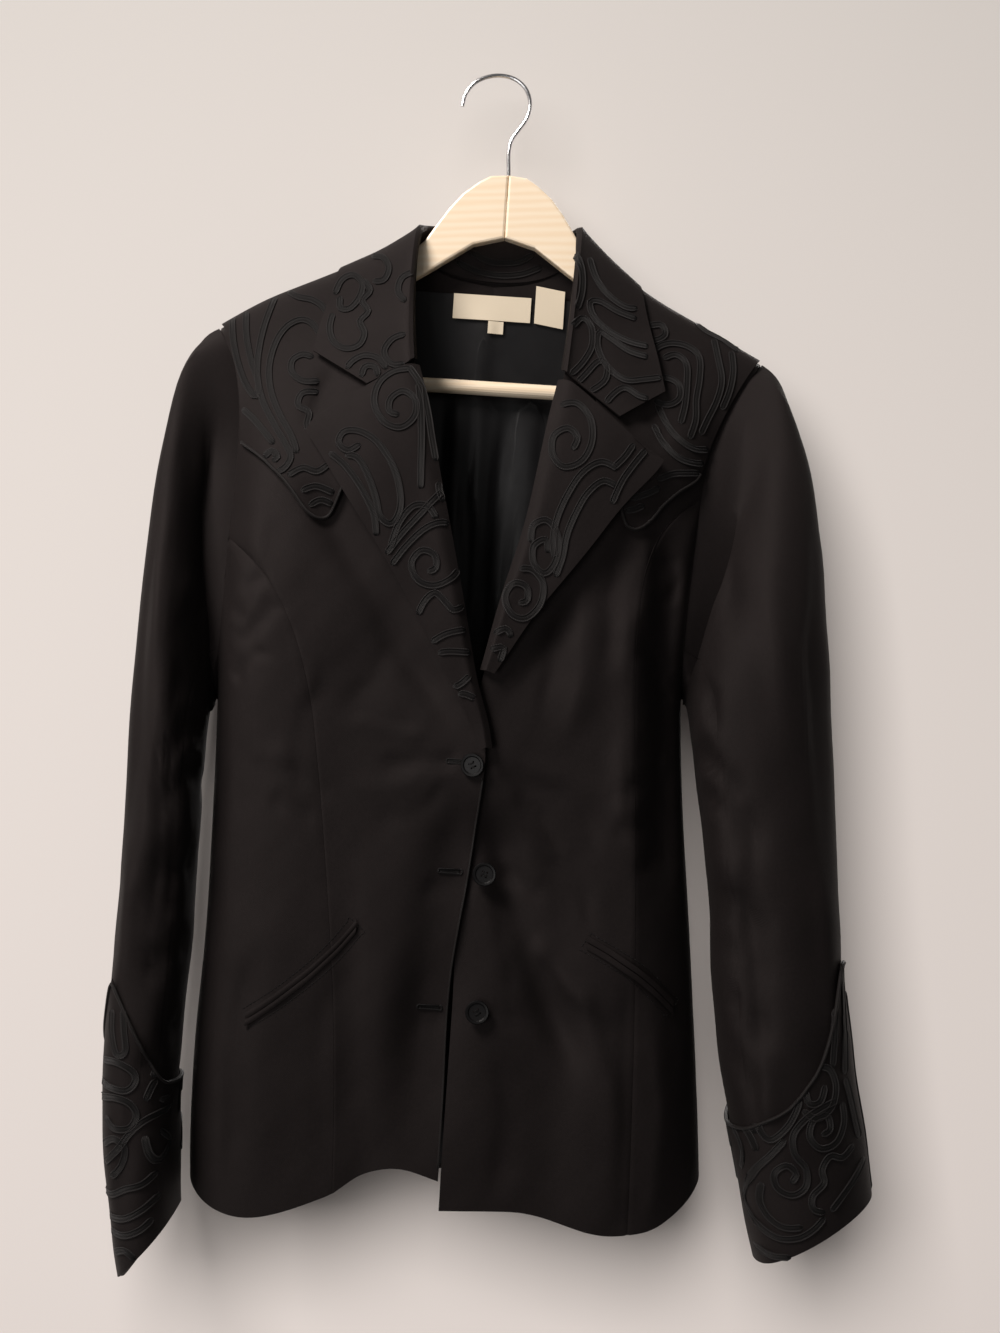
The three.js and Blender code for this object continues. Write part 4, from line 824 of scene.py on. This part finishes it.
def farCast(tree, angle, z, axis):
    # Towards the sleeve's middle line, from degrees round it: 0 faces the viewer
    middle = [np.interp(z, axis[0], axis[1][:, i]) for i in (0, 1)]
    turn = math.radians(angle)
    out = (math.sin(turn), -math.cos(turn))
    start = toWorld(*(m + sleeveCastLength * o for m, o in zip(middle, out)), z)
    end = toWorld(middle[0], middle[1], z)
    # no farther than the middle line, or the ray finds the inside of the opposite wall
    place, normal, _, _ = tree.ray_cast(start, (end - start).normalized(), (end - start).length)
    return place, normal


# Sideways points farther off than this share of the half width have missed the cloth
strayShare = 1.6
turnedUnder = 0.55


def addStrip(bm, uvLayer, cast, line, section, sideScale=1):
    # One ribbon of section along the line, cut where the cloth under it ends
    half = section[-1][0]
    rings, ringsDone, travelled = [], [], 0.0
    previous = None
    for i, (x, z) in enumerate(line):
        ahead = line[min(i + 1, len(line) - 1)] - line[max(i - 1, 0)]
        ahead = ahead / max(np.hypot(*ahead), 1e-6)
        place, normal = cast(x, z)
        if place is None:
            if len(rings) > 2:
                ringsDone.append(rings)
            rings, previous = [], None
            continue
        ring = []
        for across, up in section:
            sx, sz = x - ahead[1] * across * sideScale, z + ahead[0] * across
            spot, spotNormal = cast(sx, sz)
            if spot is None or (spot - place).length > strayShare * half * mm:
                tangent = Vector(cast(x + 0.5 * ahead[0], z + 0.5 * ahead[1])[0] or place)
                spot, spotNormal = place, normal
                side = (tangent - place).cross(normal)
                if side.length > 1e-9:
                    spot = place - side.normalized() * across * mm
            ring.append((spot + spotNormal * up * mm, across))
        if previous is not None:
            travelled += (place - previous).length
        previous = place
        rings.append((ring, travelled))
    if len(rings) > 2:
        ringsDone.append(rings)
    for rings in ringsDone:
        for ring, _ in (rings[0], rings[-1]):
            # the cut ends are turned under
            base = (ring[0][0] + ring[-1][0]) / 2
            ring[:] = [(point.lerp(base, turnedUnder), across) for point, across in ring]
        verts = [[bm.verts.new(point) for point, _ in ring] for ring, _ in rings]
        for i in range(len(rings) - 1):
            for j in range(len(section)):
                k = (j + 1) % len(section)
                face = bm.faces.new((verts[i][j], verts[i + 1][j], verts[i + 1][k], verts[i][k]))
                face.smooth = True
                steps = (rings[i][1], rings[i + 1][1], rings[i + 1][1], rings[i][1])
                for loop, at, place in zip(face.loops, (j, j, k, k), steps):
                    loop[uvLayer].uv = (section[at][0], place / mm)
        bm.faces.new(list(reversed(verts[0])))
        bm.faces.new(verts[-1])


def newTrim():
    bm = bmesh.new()
    return bm, bm.loops.layers.uv.new("UVMap")


def finishTrim(name, bm, host):
    bmesh.ops.recalc_face_normals(bm, faces=bm.faces)
    mesh = bpy.data.meshes.new(name)
    bm.to_mesh(mesh)
    bm.free()
    piece = addObject(name, mesh)
    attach(piece, "root")
    trims.setdefault(host, []).append(piece)
    return piece


trims = {}
section = braidSection()
braidPieces = []
trees = {name: meshTree(shells[name]) for name in (
    "yoke_right", "yoke_left", "lapel_right", "lapel_left", "collar", "cuff_right", "cuff_left",
)}
# About this many degrees round a cuff make a millimetre
cuffDegrees = 1.5
for name, tree in trees.items():
    bm, uvLayer = newTrim()
    step = braid["step"] * 1
    for points in braidRuns.get(name, []):
        addStrip(bm, uvLayer, lambda x, z: frontCast(tree, x, z), smoothRun(points, step), section)
    for points in backRuns.get(name, []):
        addStrip(bm, uvLayer, lambda x, z: frontCast(tree, x, z, facing=-1),
                 smoothRun(points, step), section)
    axis = axes.get(name.rsplit("_", 1)[-1])
    for points in farRuns.get(name, []):
        addStrip(bm, uvLayer, lambda x, z: farCast(tree, x, z, axis),
                 smoothRun(points, step), section, cuffDegrees)
    braidPieces.append(finishTrim("braid_" + name, bm, name))
print("braid", sum(len(piece.data.polygons) * 2 for piece in braidPieces))

# Cords, edges and stitches
cordSides = 8


def addCord(bm, uvLayer, places, normals, radius, closed=False):
    # A round cord of that radius in millimetres along points in the row frame
    count = len(places)
    rings, travelled = [], 0.0
    for i, (place, normal) in enumerate(zip(places, normals)):
        before = places[i - 1] if i or closed else place
        after = places[(i + 1) % count] if i + 1 < count or closed else place
        along = (after - before).normalized()
        side = along.cross(normal).normalized()
        up = side.cross(along)
        travelled += (place - before).length if i else 0
        ring = []
        for k in range(cordSides):
            turn = 2 * math.pi * k / cordSides
            offset = side * math.cos(turn) + up * math.sin(turn)
            ring.append(bm.verts.new(place + offset * radius * mm))
        rings.append((ring, travelled))
    spans = count if closed else count - 1
    for i in range(spans):
        (first, start), (second, end) = rings[i], rings[(i + 1) % count]
        for k in range(cordSides):
            j = (k + 1) % cordSides
            face = bm.faces.new((first[k], first[j], second[j], second[k]))
            face.smooth = True
            across = 2 * math.pi * radius / cordSides
            for loop, turn, far in zip(face.loops, (k, k + 1, k + 1, k), (start, start, end, end)):
                loop[uvLayer].uv = (turn * across, far / mm)
    if not closed:
        bm.faces.new(rings[0][0])
        bm.faces.new(list(reversed(rings[-1][0])))


def layCord(bm, uvLayer, cast, line, radius, lift, closed=False):
    # A cord along x, z points on the cloth that cast finds
    places, normals = [], []
    for x, z in line:
        place, normal = cast(x, z)
        if place is not None:
            places.append(place + normal * lift * mm)
            normals.append(normal)
    if len(places) > 2:
        addCord(bm, uvLayer, places, normals, radius, closed)


def smoothed(values, passes):
    values = np.array(values, float)
    for _ in range(passes):
        values[1:-1] = (values[:-2] + 2 * values[1:-1] + values[2:]) / 4
    return values


piping = {"radius": 1.15, "inset": 0.9, "lift": 0.3, "step": 1.8}


def yokeEdge(name, first, last):
    # The lowest point of the yoke at each x
    line = []
    for x in np.linspace(first, last, 70):
        for z in np.arange(-270, -150, 0.5):
            if frontCast(trees[name], x, z)[0] is not None:
                line.append((x, z + piping["inset"]))
                break
    line = np.array(line)
    line[:, 1] = smoothed(line[:, 1], 2)
    return smoothRun(line[::2], piping["step"])


def cuffEdge(name, side):
    # The highest point of the cuff at each angle round it
    line = []
    for angle in np.arange(0, 360, 3):
        for z in np.arange(-500, -760, -0.7):
            if farCast(trees[name], angle, z, axes[side])[0] is not None:
                line.append((angle, z - piping["inset"]))
                break
    line = np.array(line)
    line[:, 1] = smoothed(line[:, 1], 1)
    return line


pipingPieces = []
for name, first, last in (("yoke_right", -174, -95), ("yoke_left", 147.5, 86)):
    bm, uvLayer = newTrim()
    layCord(bm, uvLayer, lambda x, z: frontCast(trees[name], x, z),
            yokeEdge(name, first, last), piping["radius"], piping["lift"])
    pipingPieces.append(finishTrim("piping_" + name, bm, name))
for name in ("cuff_right", "cuff_left"):
    side = name.rsplit("_", 1)[1]
    bm, uvLayer = newTrim()
    layCord(bm, uvLayer, lambda x, z: farCast(trees[name], x, z, axes[side]),
            cuffEdge(name, side), piping["radius"], piping["lift"], closed=True)
    pipingPieces.append(finishTrim("piping_" + name, bm, name))

frontTrees = {
    side: [meshTree(shells[f"{stem}_{side}"]) for stem in ("front", "side_front")] for side in sides
}


def castOnFront(side, x, z):
    for tree in frontTrees[side]:
        place, normal = frontCast(tree, x, z)
        if place is not None:
            return place, normal
    return None, None


def onRight(x, z):
    return castOnFront("right", x, z)


# Thread buttonholes in the wearer's right front: a keyhole of close stitches round a slit
# Inner end, outer end and height of each, in hung millimetres
buttonholes = [(-14.5, -1.5, -417.5), (-15.5, -2, -493), (-24, -10, -588)]
keyhole = {"eye": 1.9, "end": 1.4, "cord": 0.6, "lift": 0.2}
bars = {"apart": 0.45, "cord": 0.35, "lift": 0.1}
bm, uvLayer = newTrim()
for x0, x1, z in buttonholes:
    outline = []
    for turn in np.linspace(0, 2 * math.pi, 40, endpoint=False):
        reach = keyhole["eye"] if math.cos(turn) > 0.2 else keyhole["end"]
        middle = x1 if math.cos(turn) > 0 else x0
        outline.append((middle + reach * math.cos(turn), z + reach * math.sin(turn)))
    layCord(bm, uvLayer, onRight, outline, keyhole["cord"], keyhole["lift"], closed=True)
    for bar in (-bars["apart"], bars["apart"]):
        line = [(x, z + bar) for x in np.linspace(x0, x1, 10)]
        layCord(bm, uvLayer, onRight, line, bars["cord"], bars["lift"])
buttonholePiece = finishTrim("buttonhole_threads", bm, "front_right")

# The rolled front edge of the wearer's right front
bm, uvLayer = newTrim()
rolled = {"radius": 0.8, "inset": 0.7, "top": -428, "low": -700, "step": 4}
hung = toHung(readPoints(shells["front_right"]))
line = []
for z in np.arange(rolled["top"], rolled["low"], -rolled["step"]):
    near = hung[(abs(hung[:, 2] - z) < rolled["step"]) & (hung[:, 1] < -20)]
    line.append((near[:, 0].max() - rolled["inset"], z))
line = np.stack([smoothed(column, 4) for column in np.array(line).T], axis=1)
layCord(bm, uvLayer, onRight, line, rolled["radius"], 0)
frontRoll = finishTrim("front_edge_roll", bm, "front_right")

# Topstitching round the pockets
pocketLines = {
    "right": [(-144, -604.5), (-122, -588), (-99, -568), (-83, -551), (-69, -532.5)],
    "left": [(86, -534.5), (104, -543), (122, -553), (136, -565), (151, -579.5)],
}
stitch = {"long": 2.3, "gap": 1.0, "radius": 0.26, "away": 6.6, "lift": 0.12, "step": 0.5}
stitchPieces = []
for side, points in pocketLines.items():
    bm, uvLayer = newTrim()
    middle = smoothRun(points, 0.6)
    along = np.gradient(middle, axis=0)
    along /= np.linalg.norm(along, axis=1, keepdims=True)
    across = np.stack([-along[:, 1], along[:, 0]], axis=1) * stitch["away"]
    track = np.concatenate([middle - across, (middle + across)[::-1], (middle - across)[:1]])
    track = smoothRun(track[::4], stitch["step"])
    period = int((stitch["long"] + stitch["gap"]) / stitch["step"])
    points = int(stitch["long"] / stitch["step"]) + 1
    for start in range(0, len(track) - period, period):
        layCord(bm, uvLayer, lambda x, z: castOnFront(side, x, z),
                track[start:start + points], stitch["radius"], stitch["lift"])
    stitchPieces.append(finishTrim(f"pocket_stitches_{side}", bm, f"front_{side}"))

# Threads through the four holes of each button: two bars of two strands, that arch between the
# holes and dive into them
thread = {"half": 1.75, "bar": 1.25, "strand": 0.28, "radius": 0.3, "arch": 0.9, "sunk": 0.5}
bm, uvLayer = newTrim()
for name, turn in (("button_1", 20), ("button_2", 40), ("button_3", 10)):
    low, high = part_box(name)
    middle = (low + high) / 2
    face = meshTree(nodes[name].data)
    cosTurn, sinTurn = math.cos(math.radians(turn)), math.sin(math.radians(turn))
    for bar, strand in itertools.product((-1, 1), repeat=2):
        v = thread["bar"] * bar + thread["strand"] * strand
        line = []
        for t in np.linspace(-1, 1, 7):
            u = thread["half"] * t
            x = middle.x / mm + u * cosTurn - v * sinTurn
            z = middle.z / mm + u * sinTurn + v * cosTurn
            height = thread["arch"] * (1 - abs(t) ** 3) - thread["sunk"]
            hit = face.ray_cast(Vector((x * mm, -castLength * mm, z * mm)), Vector((0, 1, 0)))[0]
            y = min(hit.y if hit else middle.y, middle.y) if abs(t) < 0.5 else middle.y
            line.append(Vector((x * mm, y - height * mm, z * mm)))
        addCord(bm, uvLayer, line, [Vector((0, -1, 0))] * len(line), thread["radius"])
buttonThreads = finishTrim("button_threads", bm, "front_left")
print("cords and stitches")

# Helpers that add nodes to a material or a group
def addNode(tree, kind, settings=None, inputs=None):
    made = tree.nodes.new(kind)
    for key, value in (settings or {}).items():
        setattr(made, key, value)
    for key, value in (inputs or {}).items():
        if isinstance(value, bpy.types.NodeSocket):
            tree.links.new(value, made.inputs[key])
        else:
            made.inputs[key].default_value = value
    return made


def newGroup(name, inputs, outputs):
    tree = bpy.data.node_groups.new(name, "ShaderNodeTree")
    for label, kind in inputs:
        tree.interface.new_socket(label, in_out="INPUT", socket_type=kind)
    for label, kind in outputs:
        tree.interface.new_socket(label, in_out="OUTPUT", socket_type=kind)
    return tree, tree.nodes.new("NodeGroupInput"), tree.nodes.new("NodeGroupOutput")


def mixColour(tree, share, first, second):
    made = addNode(tree, "ShaderNodeMix", {"data_type": "RGBA"}, {
        0: share, 6: (*first, 1), 7: (*second, 1),
    })
    return made.outputs[2]


def noise(tree, vector, scale, detail, roughness=0.5):
    return addNode(tree, "ShaderNodeTexNoise", {}, {
        "Vector": vector, "Scale": scale, "Detail": detail, "Roughness": roughness,
    }).outputs[0]


def wave(tree, direction, vector, scale, distortion, detail=2, detailScale=1):
    return addNode(tree, "ShaderNodeTexWave", {"bands_direction": direction}, {
        "Vector": vector, "Scale": scale, "Distortion": distortion, "Detail": detail,
        "Detail Scale": detailScale,
    }).outputs["Fac"]


def maths(tree, operation, *values):
    made = addNode(tree, "ShaderNodeMath", {"operation": operation}, dict(enumerate(values)))
    return made.outputs[0]


def mapRange(tree, value, ends, start=(0, 1), kind="LINEAR"):
    return addNode(tree, "ShaderNodeMapRange", {"interpolation_type": kind}, {
        "Value": value, "From Min": start[0], "From Max": start[1], "To Min": ends[0],
        "To Max": ends[1],
    }).outputs[0]


# Close suiting weave, with slow changes of tone where the cloth has been handled
weave, ins, outs = newGroup(
    "suiting_weave", [("Vector", "NodeSocketVector")],
    [("Height", "NodeSocketFloat"), ("Tone", "NodeSocketFloat")],
)
place = ins.outputs[0]
rib = wave(weave, "DIAGONAL", place, 900, 1.5, detail=1, detailScale=2)
fuzz = noise(weave, place, 1100, 4, roughness=0.65)
slow = noise(weave, place, 9, 4, roughness=0.55)
speck = noise(weave, place, 520, 2)
weave.links.new(maths(weave, "MULTIPLY_ADD", fuzz, 1.4, rib), outs.inputs["Height"])
tone = maths(weave, "MULTIPLY_ADD", speck, 0.8, slow)
weave.links.new(maths(weave, "SUBTRACT", tone, 0.4), outs.inputs["Tone"])

# Twist of a laid cord, from its own UV in millimetres across and along
twist, ins, outs = newGroup(
    "cord_twist", [("Vector", "NodeSocketVector"), ("Pitch", "NodeSocketFloat")],
    [("Height", "NodeSocketFloat")],
)
lay = wave(twist, "DIAGONAL", ins.outputs[0], ins.outputs[1], 0.8, detailScale=1.5)
twist.links.new(lay, outs.inputs["Height"])

# Painted highlight on the raised edges of the braid, stopping short of its outer rim, which stays
# dark as a painted shadow line; from its UV in millimetres across
edges, ins, outs = newGroup(
    "braid_edge_highlight_and_rim_shadow", [("Vector", "NodeSocketVector")], [("Share", "NodeSocketFloat")],
)
across = addNode(edges, "ShaderNodeSeparateXYZ", {}, {0: ins.outputs[0]})
away = maths(edges, "ABSOLUTE", across.outputs[0])
# the raised edges are painted lighter: a painted highlight
edgeHighlight = mapRange(edges, away, (0, 1), start=(1.3, 1.9), kind="SMOOTHSTEP")
# the highlight stops before the rim, which stays dark: a painted shadow where the braid meets the
# cloth
rimShadowCut = mapRange(edges, away, (0, 1), start=(2.5, 2.25), kind="SMOOTHSTEP")
edges.links.new(maths(edges, "MULTIPLY", edgeHighlight, rimShadowCut), outs.inputs["Share"])


def newMaterial(name, values):
    material = bpy.data.materials.new(name)
    material.use_nodes = True
    shader = material.node_tree.nodes["Principled BSDF"]
    for key, value in values.items():
        shader.inputs[key].default_value = value
    return material, material.node_tree, shader


def objectPlace(tree):
    return addNode(tree, "ShaderNodeTexCoord").outputs["Object"]


def addBump(tree, shader, height, strength, distance):
    made = addNode(tree, "ShaderNodeBump", {}, {
        "Strength": strength, "Distance": distance * mm, "Height": height,
    })
    tree.links.new(made.outputs[0], shader.inputs["Normal"])


def suiting(name, dark, light, bump):
    material, tree, shader = newMaterial(name, {
        "Roughness": 0.66, "Specular IOR Level": 0.17, "Specular Tint": (1, 0.89, 0.87, 1),
        "Sheen Weight": 0.02, "Sheen Roughness": 0.45, "Sheen Tint": (0.9, 0.82, 0.78, 1),
    })
    cloth = addNode(tree, "ShaderNodeGroup", {"node_tree": weave}, {0: objectPlace(tree)})
    colour = mixColour(tree, cloth.outputs["Tone"], dark, light)
    tree.links.new(colour, shader.inputs["Base Color"])
    addBump(tree, shader, cloth.outputs["Height"], bump, 0.25)
    return material


def cordage(name, dark, light, pitch, roughness, bump, paintedEdgeLight=False):
    material, tree, shader = newMaterial(name, {
        "Roughness": roughness, "Specular IOR Level": 0.22, "Sheen Weight": 0.06,
        "Sheen Roughness": 0.3, "Sheen Tint": (0.86, 0.85, 0.88, 1),
    })
    place = addNode(tree, "ShaderNodeUVMap", {"uv_map": "UVMap"}).outputs[0]
    laid = addNode(tree, "ShaderNodeGroup", {"node_tree": twist}, {0: place, 1: pitch})
    share = laid.outputs[0]
    if paintedEdgeLight:
        # painted highlight on the raised edges and painted shadow line at the rim
        edge = addNode(tree, "ShaderNodeGroup", {"node_tree": edges}, {0: place})
        share = maths(tree, "MULTIPLY_ADD", share, 0.5, edge.outputs[0])
    tree.links.new(mixColour(tree, share, dark, light), shader.inputs["Base Color"])
    addBump(tree, shader, laid.outputs[0], bump, 0.3)
    return material


clothLook = suiting("black_suiting", (0.0056, 0.0043, 0.0043), (0.0124, 0.0096, 0.0096), 0.45)
braidLook = cordage(
    "braid_cord", (0.0042, 0.0035, 0.0035), (0.0160, 0.0140, 0.0140), 0.52, 0.56, 1.0, paintedEdgeLight=True,
)
pipingLook = cordage(
    "piping_cord", (0.0055, 0.0043, 0.0042), (0.0145, 0.0118, 0.0113), 0.8, 0.6, 0.5,
)
threadLook = cordage(
    "sewing_thread", (0.0022, 0.0018, 0.0018), (0.006, 0.005, 0.005), 1.6, 0.6, 0.4,
)

# Satin of the lining
satinLook, tree, shader = newMaterial("black_satin", {
    "Base Color": (0.0040, 0.0037, 0.0043, 1), "Specular IOR Level": 0.36,
    "Sheen Weight": 0.05, "Anisotropic": 0.5,
})
slip = noise(tree, objectPlace(tree), 60, 3)
tree.links.new(mapRange(tree, slip, (0.3, 0.44)), shader.inputs["Roughness"])
addBump(tree, shader, slip, 0.12, 0.6)

# Woven tape of the bare labels
labelLook, tree, shader = newMaterial("cream_tape", {"Roughness": 0.7, "Sheen Weight": 0.2})
place = objectPlace(tree)
crossing = maths(
    tree, "MULTIPLY", wave(tree, "X", place, 520, 0.6), wave(tree, "Z", place, 420, 0.6),
)
colour = mixColour(tree, crossing, (0.70, 0.60, 0.45), (0.80, 0.72, 0.58))
tree.links.new(colour, shader.inputs["Base Color"])
addBump(tree, shader, crossing, 0.3, 0.2)

# Lacquered wood of the hanger, its figure stretched along the arms
woodLook, tree, shader = newMaterial("honey_pine", {
    "Roughness": 0.34, "Coat Weight": 0.35, "Coat Roughness": 0.18,
})
grain = addNode(tree, "ShaderNodeMapping", {}, {
    "Vector": objectPlace(tree), "Scale": (7, 40, 60), "Rotation": (0, math.radians(8), 0),
}).outputs[0]
rings = wave(tree, "Z", grain, 0.9, 5, detail=3, detailScale=1.2)
fibre = noise(tree, grain, 9, 5, roughness=0.6)
figure = maths(tree, "MULTIPLY_ADD", fibre, 0.5, rings)
share = mapRange(tree, figure, (0, 1), start=(0, 1.5))
colour = mixColour(tree, share, (1.0, 0.86, 0.67), (0.94, 0.75, 0.53))
tree.links.new(colour, shader.inputs["Base Color"])
addBump(tree, shader, fibre, 0.08, 0.4)

# Wire of the hook
steelLook, tree, shader = newMaterial("polished_wire", {
    "Base Color": (0.52, 0.52, 0.53, 1), "Metallic": 1.0,
})
drawn = noise(tree, objectPlace(tree), 700, 2)
tree.links.new(mapRange(tree, drawn, (0.16, 0.3)), shader.inputs["Roughness"])

# Dark horn of the buttons
hornLook, tree, shader = newMaterial("button_horn", {
    "Roughness": 0.42, "Specular IOR Level": 0.22,
})
cloud = noise(tree, objectPlace(tree), 160, 3)
colour = mixColour(tree, cloud, (0.003, 0.0028, 0.003), (0.007, 0.0064, 0.0068))
tree.links.new(colour, shader.inputs["Base Color"])


def paint(piece, material, slot):
    piece.data.materials.clear()
    piece.data.materials.append(material)


looks = {"lining_back": (satinLook, "satin")}
for name in ("neck_label", "size_tab", "care_label"):
    looks[name] = (labelLook, "woven_label")
pieces = {}
for name, shell in shells.items():
    piece = addObject(name + "_cloth", shell)
    pieces[name] = piece
    paint(piece, *looks.get(name, (clothLook, "cloth")))
    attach(piece, "root")
    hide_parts(name)
for piece in braidPieces:
    paint(piece, braidLook, "cloth")
for piece in (frontRoll, *pipingPieces):
    paint(piece, pipingLook, "cloth")
for piece in (buttonholePiece, buttonThreads, *stitchPieces):
    paint(piece, threadLook, "cloth")
for name, (material, slot) in {
    "hanger_arm_right": (woodLook, "wood"), "hanger_arm_left": (woodLook, "wood"),
    "hanger_bar": (woodLook, "wood"), "hanger_hook": (steelLook, "wire"),
    "button_1": (hornLook, "button"), "button_2": (hornLook, "button"),
    "button_3": (hornLook, "button"),
}.items():
    paint(nodes[name], material, slot)

for name, piece in pieces.items():
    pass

# Pale wall behind the garment, painted darker towards the top and paler towards the bottom: painted
# shade and painted light that even out the lamp light on it
wall = {"y": 0.075, "half": 4, "low": -0.95, "high": 0.1}
wallLook, tree, shader = newMaterial("pale_wall", {"Roughness": 0.9})
height = addNode(tree, "ShaderNodeSeparateXYZ", {}, {0: objectPlace(tree)}).outputs[2]
# painted shade at the top and painted light at the bottom, against the wall lamp's uneven light
share = mapRange(tree, height, (0, 1), start=(wall["low"], wall["high"]))
colour = mixColour(tree, share, (0.80, 0.735, 0.70), (0.56, 0.525, 0.495))
tree.links.new(colour, shader.inputs["Base Color"])
# from behind one looks through the wall at the garment's back
side = addNode(tree, "ShaderNodeNewGeometry")
clear = addNode(tree, "ShaderNodeBsdfTransparent")
seen = addNode(tree, "ShaderNodeMixShader", {}, {
    0: side.outputs["Backfacing"], 1: shader.outputs[0], 2: clear.outputs[0],
})
tree.links.new(seen.outputs[0], tree.nodes["Material Output"].inputs["Surface"])
wallMesh = bpy.data.meshes.new("wall")
corners = ((-1, -1), (1, -1), (1, 1), (-1, 1))
wallMesh.from_pydata(
    [(x * wall["half"], wall["y"], z * wall["half"]) for x, z in corners], [], [(0, 1, 2, 3)]
)
wallPiece = addObject("wall", wallMesh)
wallPiece.data.materials.append(wallLook)
wallPiece.visible_shadow = False

# The wall and the garment are lit apart, each by its own lamps
garment = [piece for piece in scene.objects if piece.type == "MESH" and piece != wallPiece]
lampAim = Vector((0, 0, -0.38))
lamps = [
    {"name": "key", "place": (-0.85, -0.85, 0.85), "size": 0.6, "energy": 34,
     "tint": (1.0, 0.93, 0.88), "only": garment},
    {"name": "fill", "place": (-1.1, -2.0, -0.7), "size": 1.2, "energy": 13,
     "tint": (1.0, 0.97, 0.95), "only": garment},
    {"name": "back_light", "place": (0.5, 2.2, 0.7), "size": 1.2, "energy": 60,
     "tint": (1.0, 0.97, 0.95), "only": garment},
    {"name": "wall_light", "place": (-0.5, -2.2, 0.4), "size": 1.4, "energy": 74,
     "tint": (1.0, 0.97, 0.95), "only": [wallPiece]},
]
for lamp in lamps:
    light = bpy.data.lights.new(lamp["name"], "AREA")
    light.energy, light.size, light.color = lamp["energy"], lamp["size"], lamp["tint"]
    piece = addObject(lamp["name"], light)
    piece.location = lamp["place"]
    piece.rotation_euler = (lampAim - piece.location).to_track_quat("-Z", "Y").to_euler()
    lit = bpy.data.collections.new(lamp["name"] + "_lit")
    for subject in lamp["only"]:
        lit.objects.link(subject)
    piece.light_linking.receiver_collection = lit

# A dim room, pale where the camera sees past the wall
world = scene.world or bpy.data.worlds.new("room")
scene.world = world
world.use_nodes = True
room = world.node_tree.nodes["Background"]
room.inputs[0].default_value = (0.86, 0.84, 0.82, 1)
ray = addNode(world.node_tree, "ShaderNodeLightPath")
strength = mapRange(world.node_tree, ray.outputs["Is Camera Ray"], (0.13, 0.75))
world.node_tree.links.new(strength, room.inputs[1])
scene.view_settings.view_transform = "Standard"

cameraData = bpy.data.cameras.new("photo_camera")
cameraData.lens = 45.9
cameraData.sensor_width = 36
camera = addObject("photo_camera", cameraData)
camera.location = (0, -1.22, -0.4227)
camera.rotation_euler = (math.radians(90), 0, 0)
scene.camera = camera

writeSize()
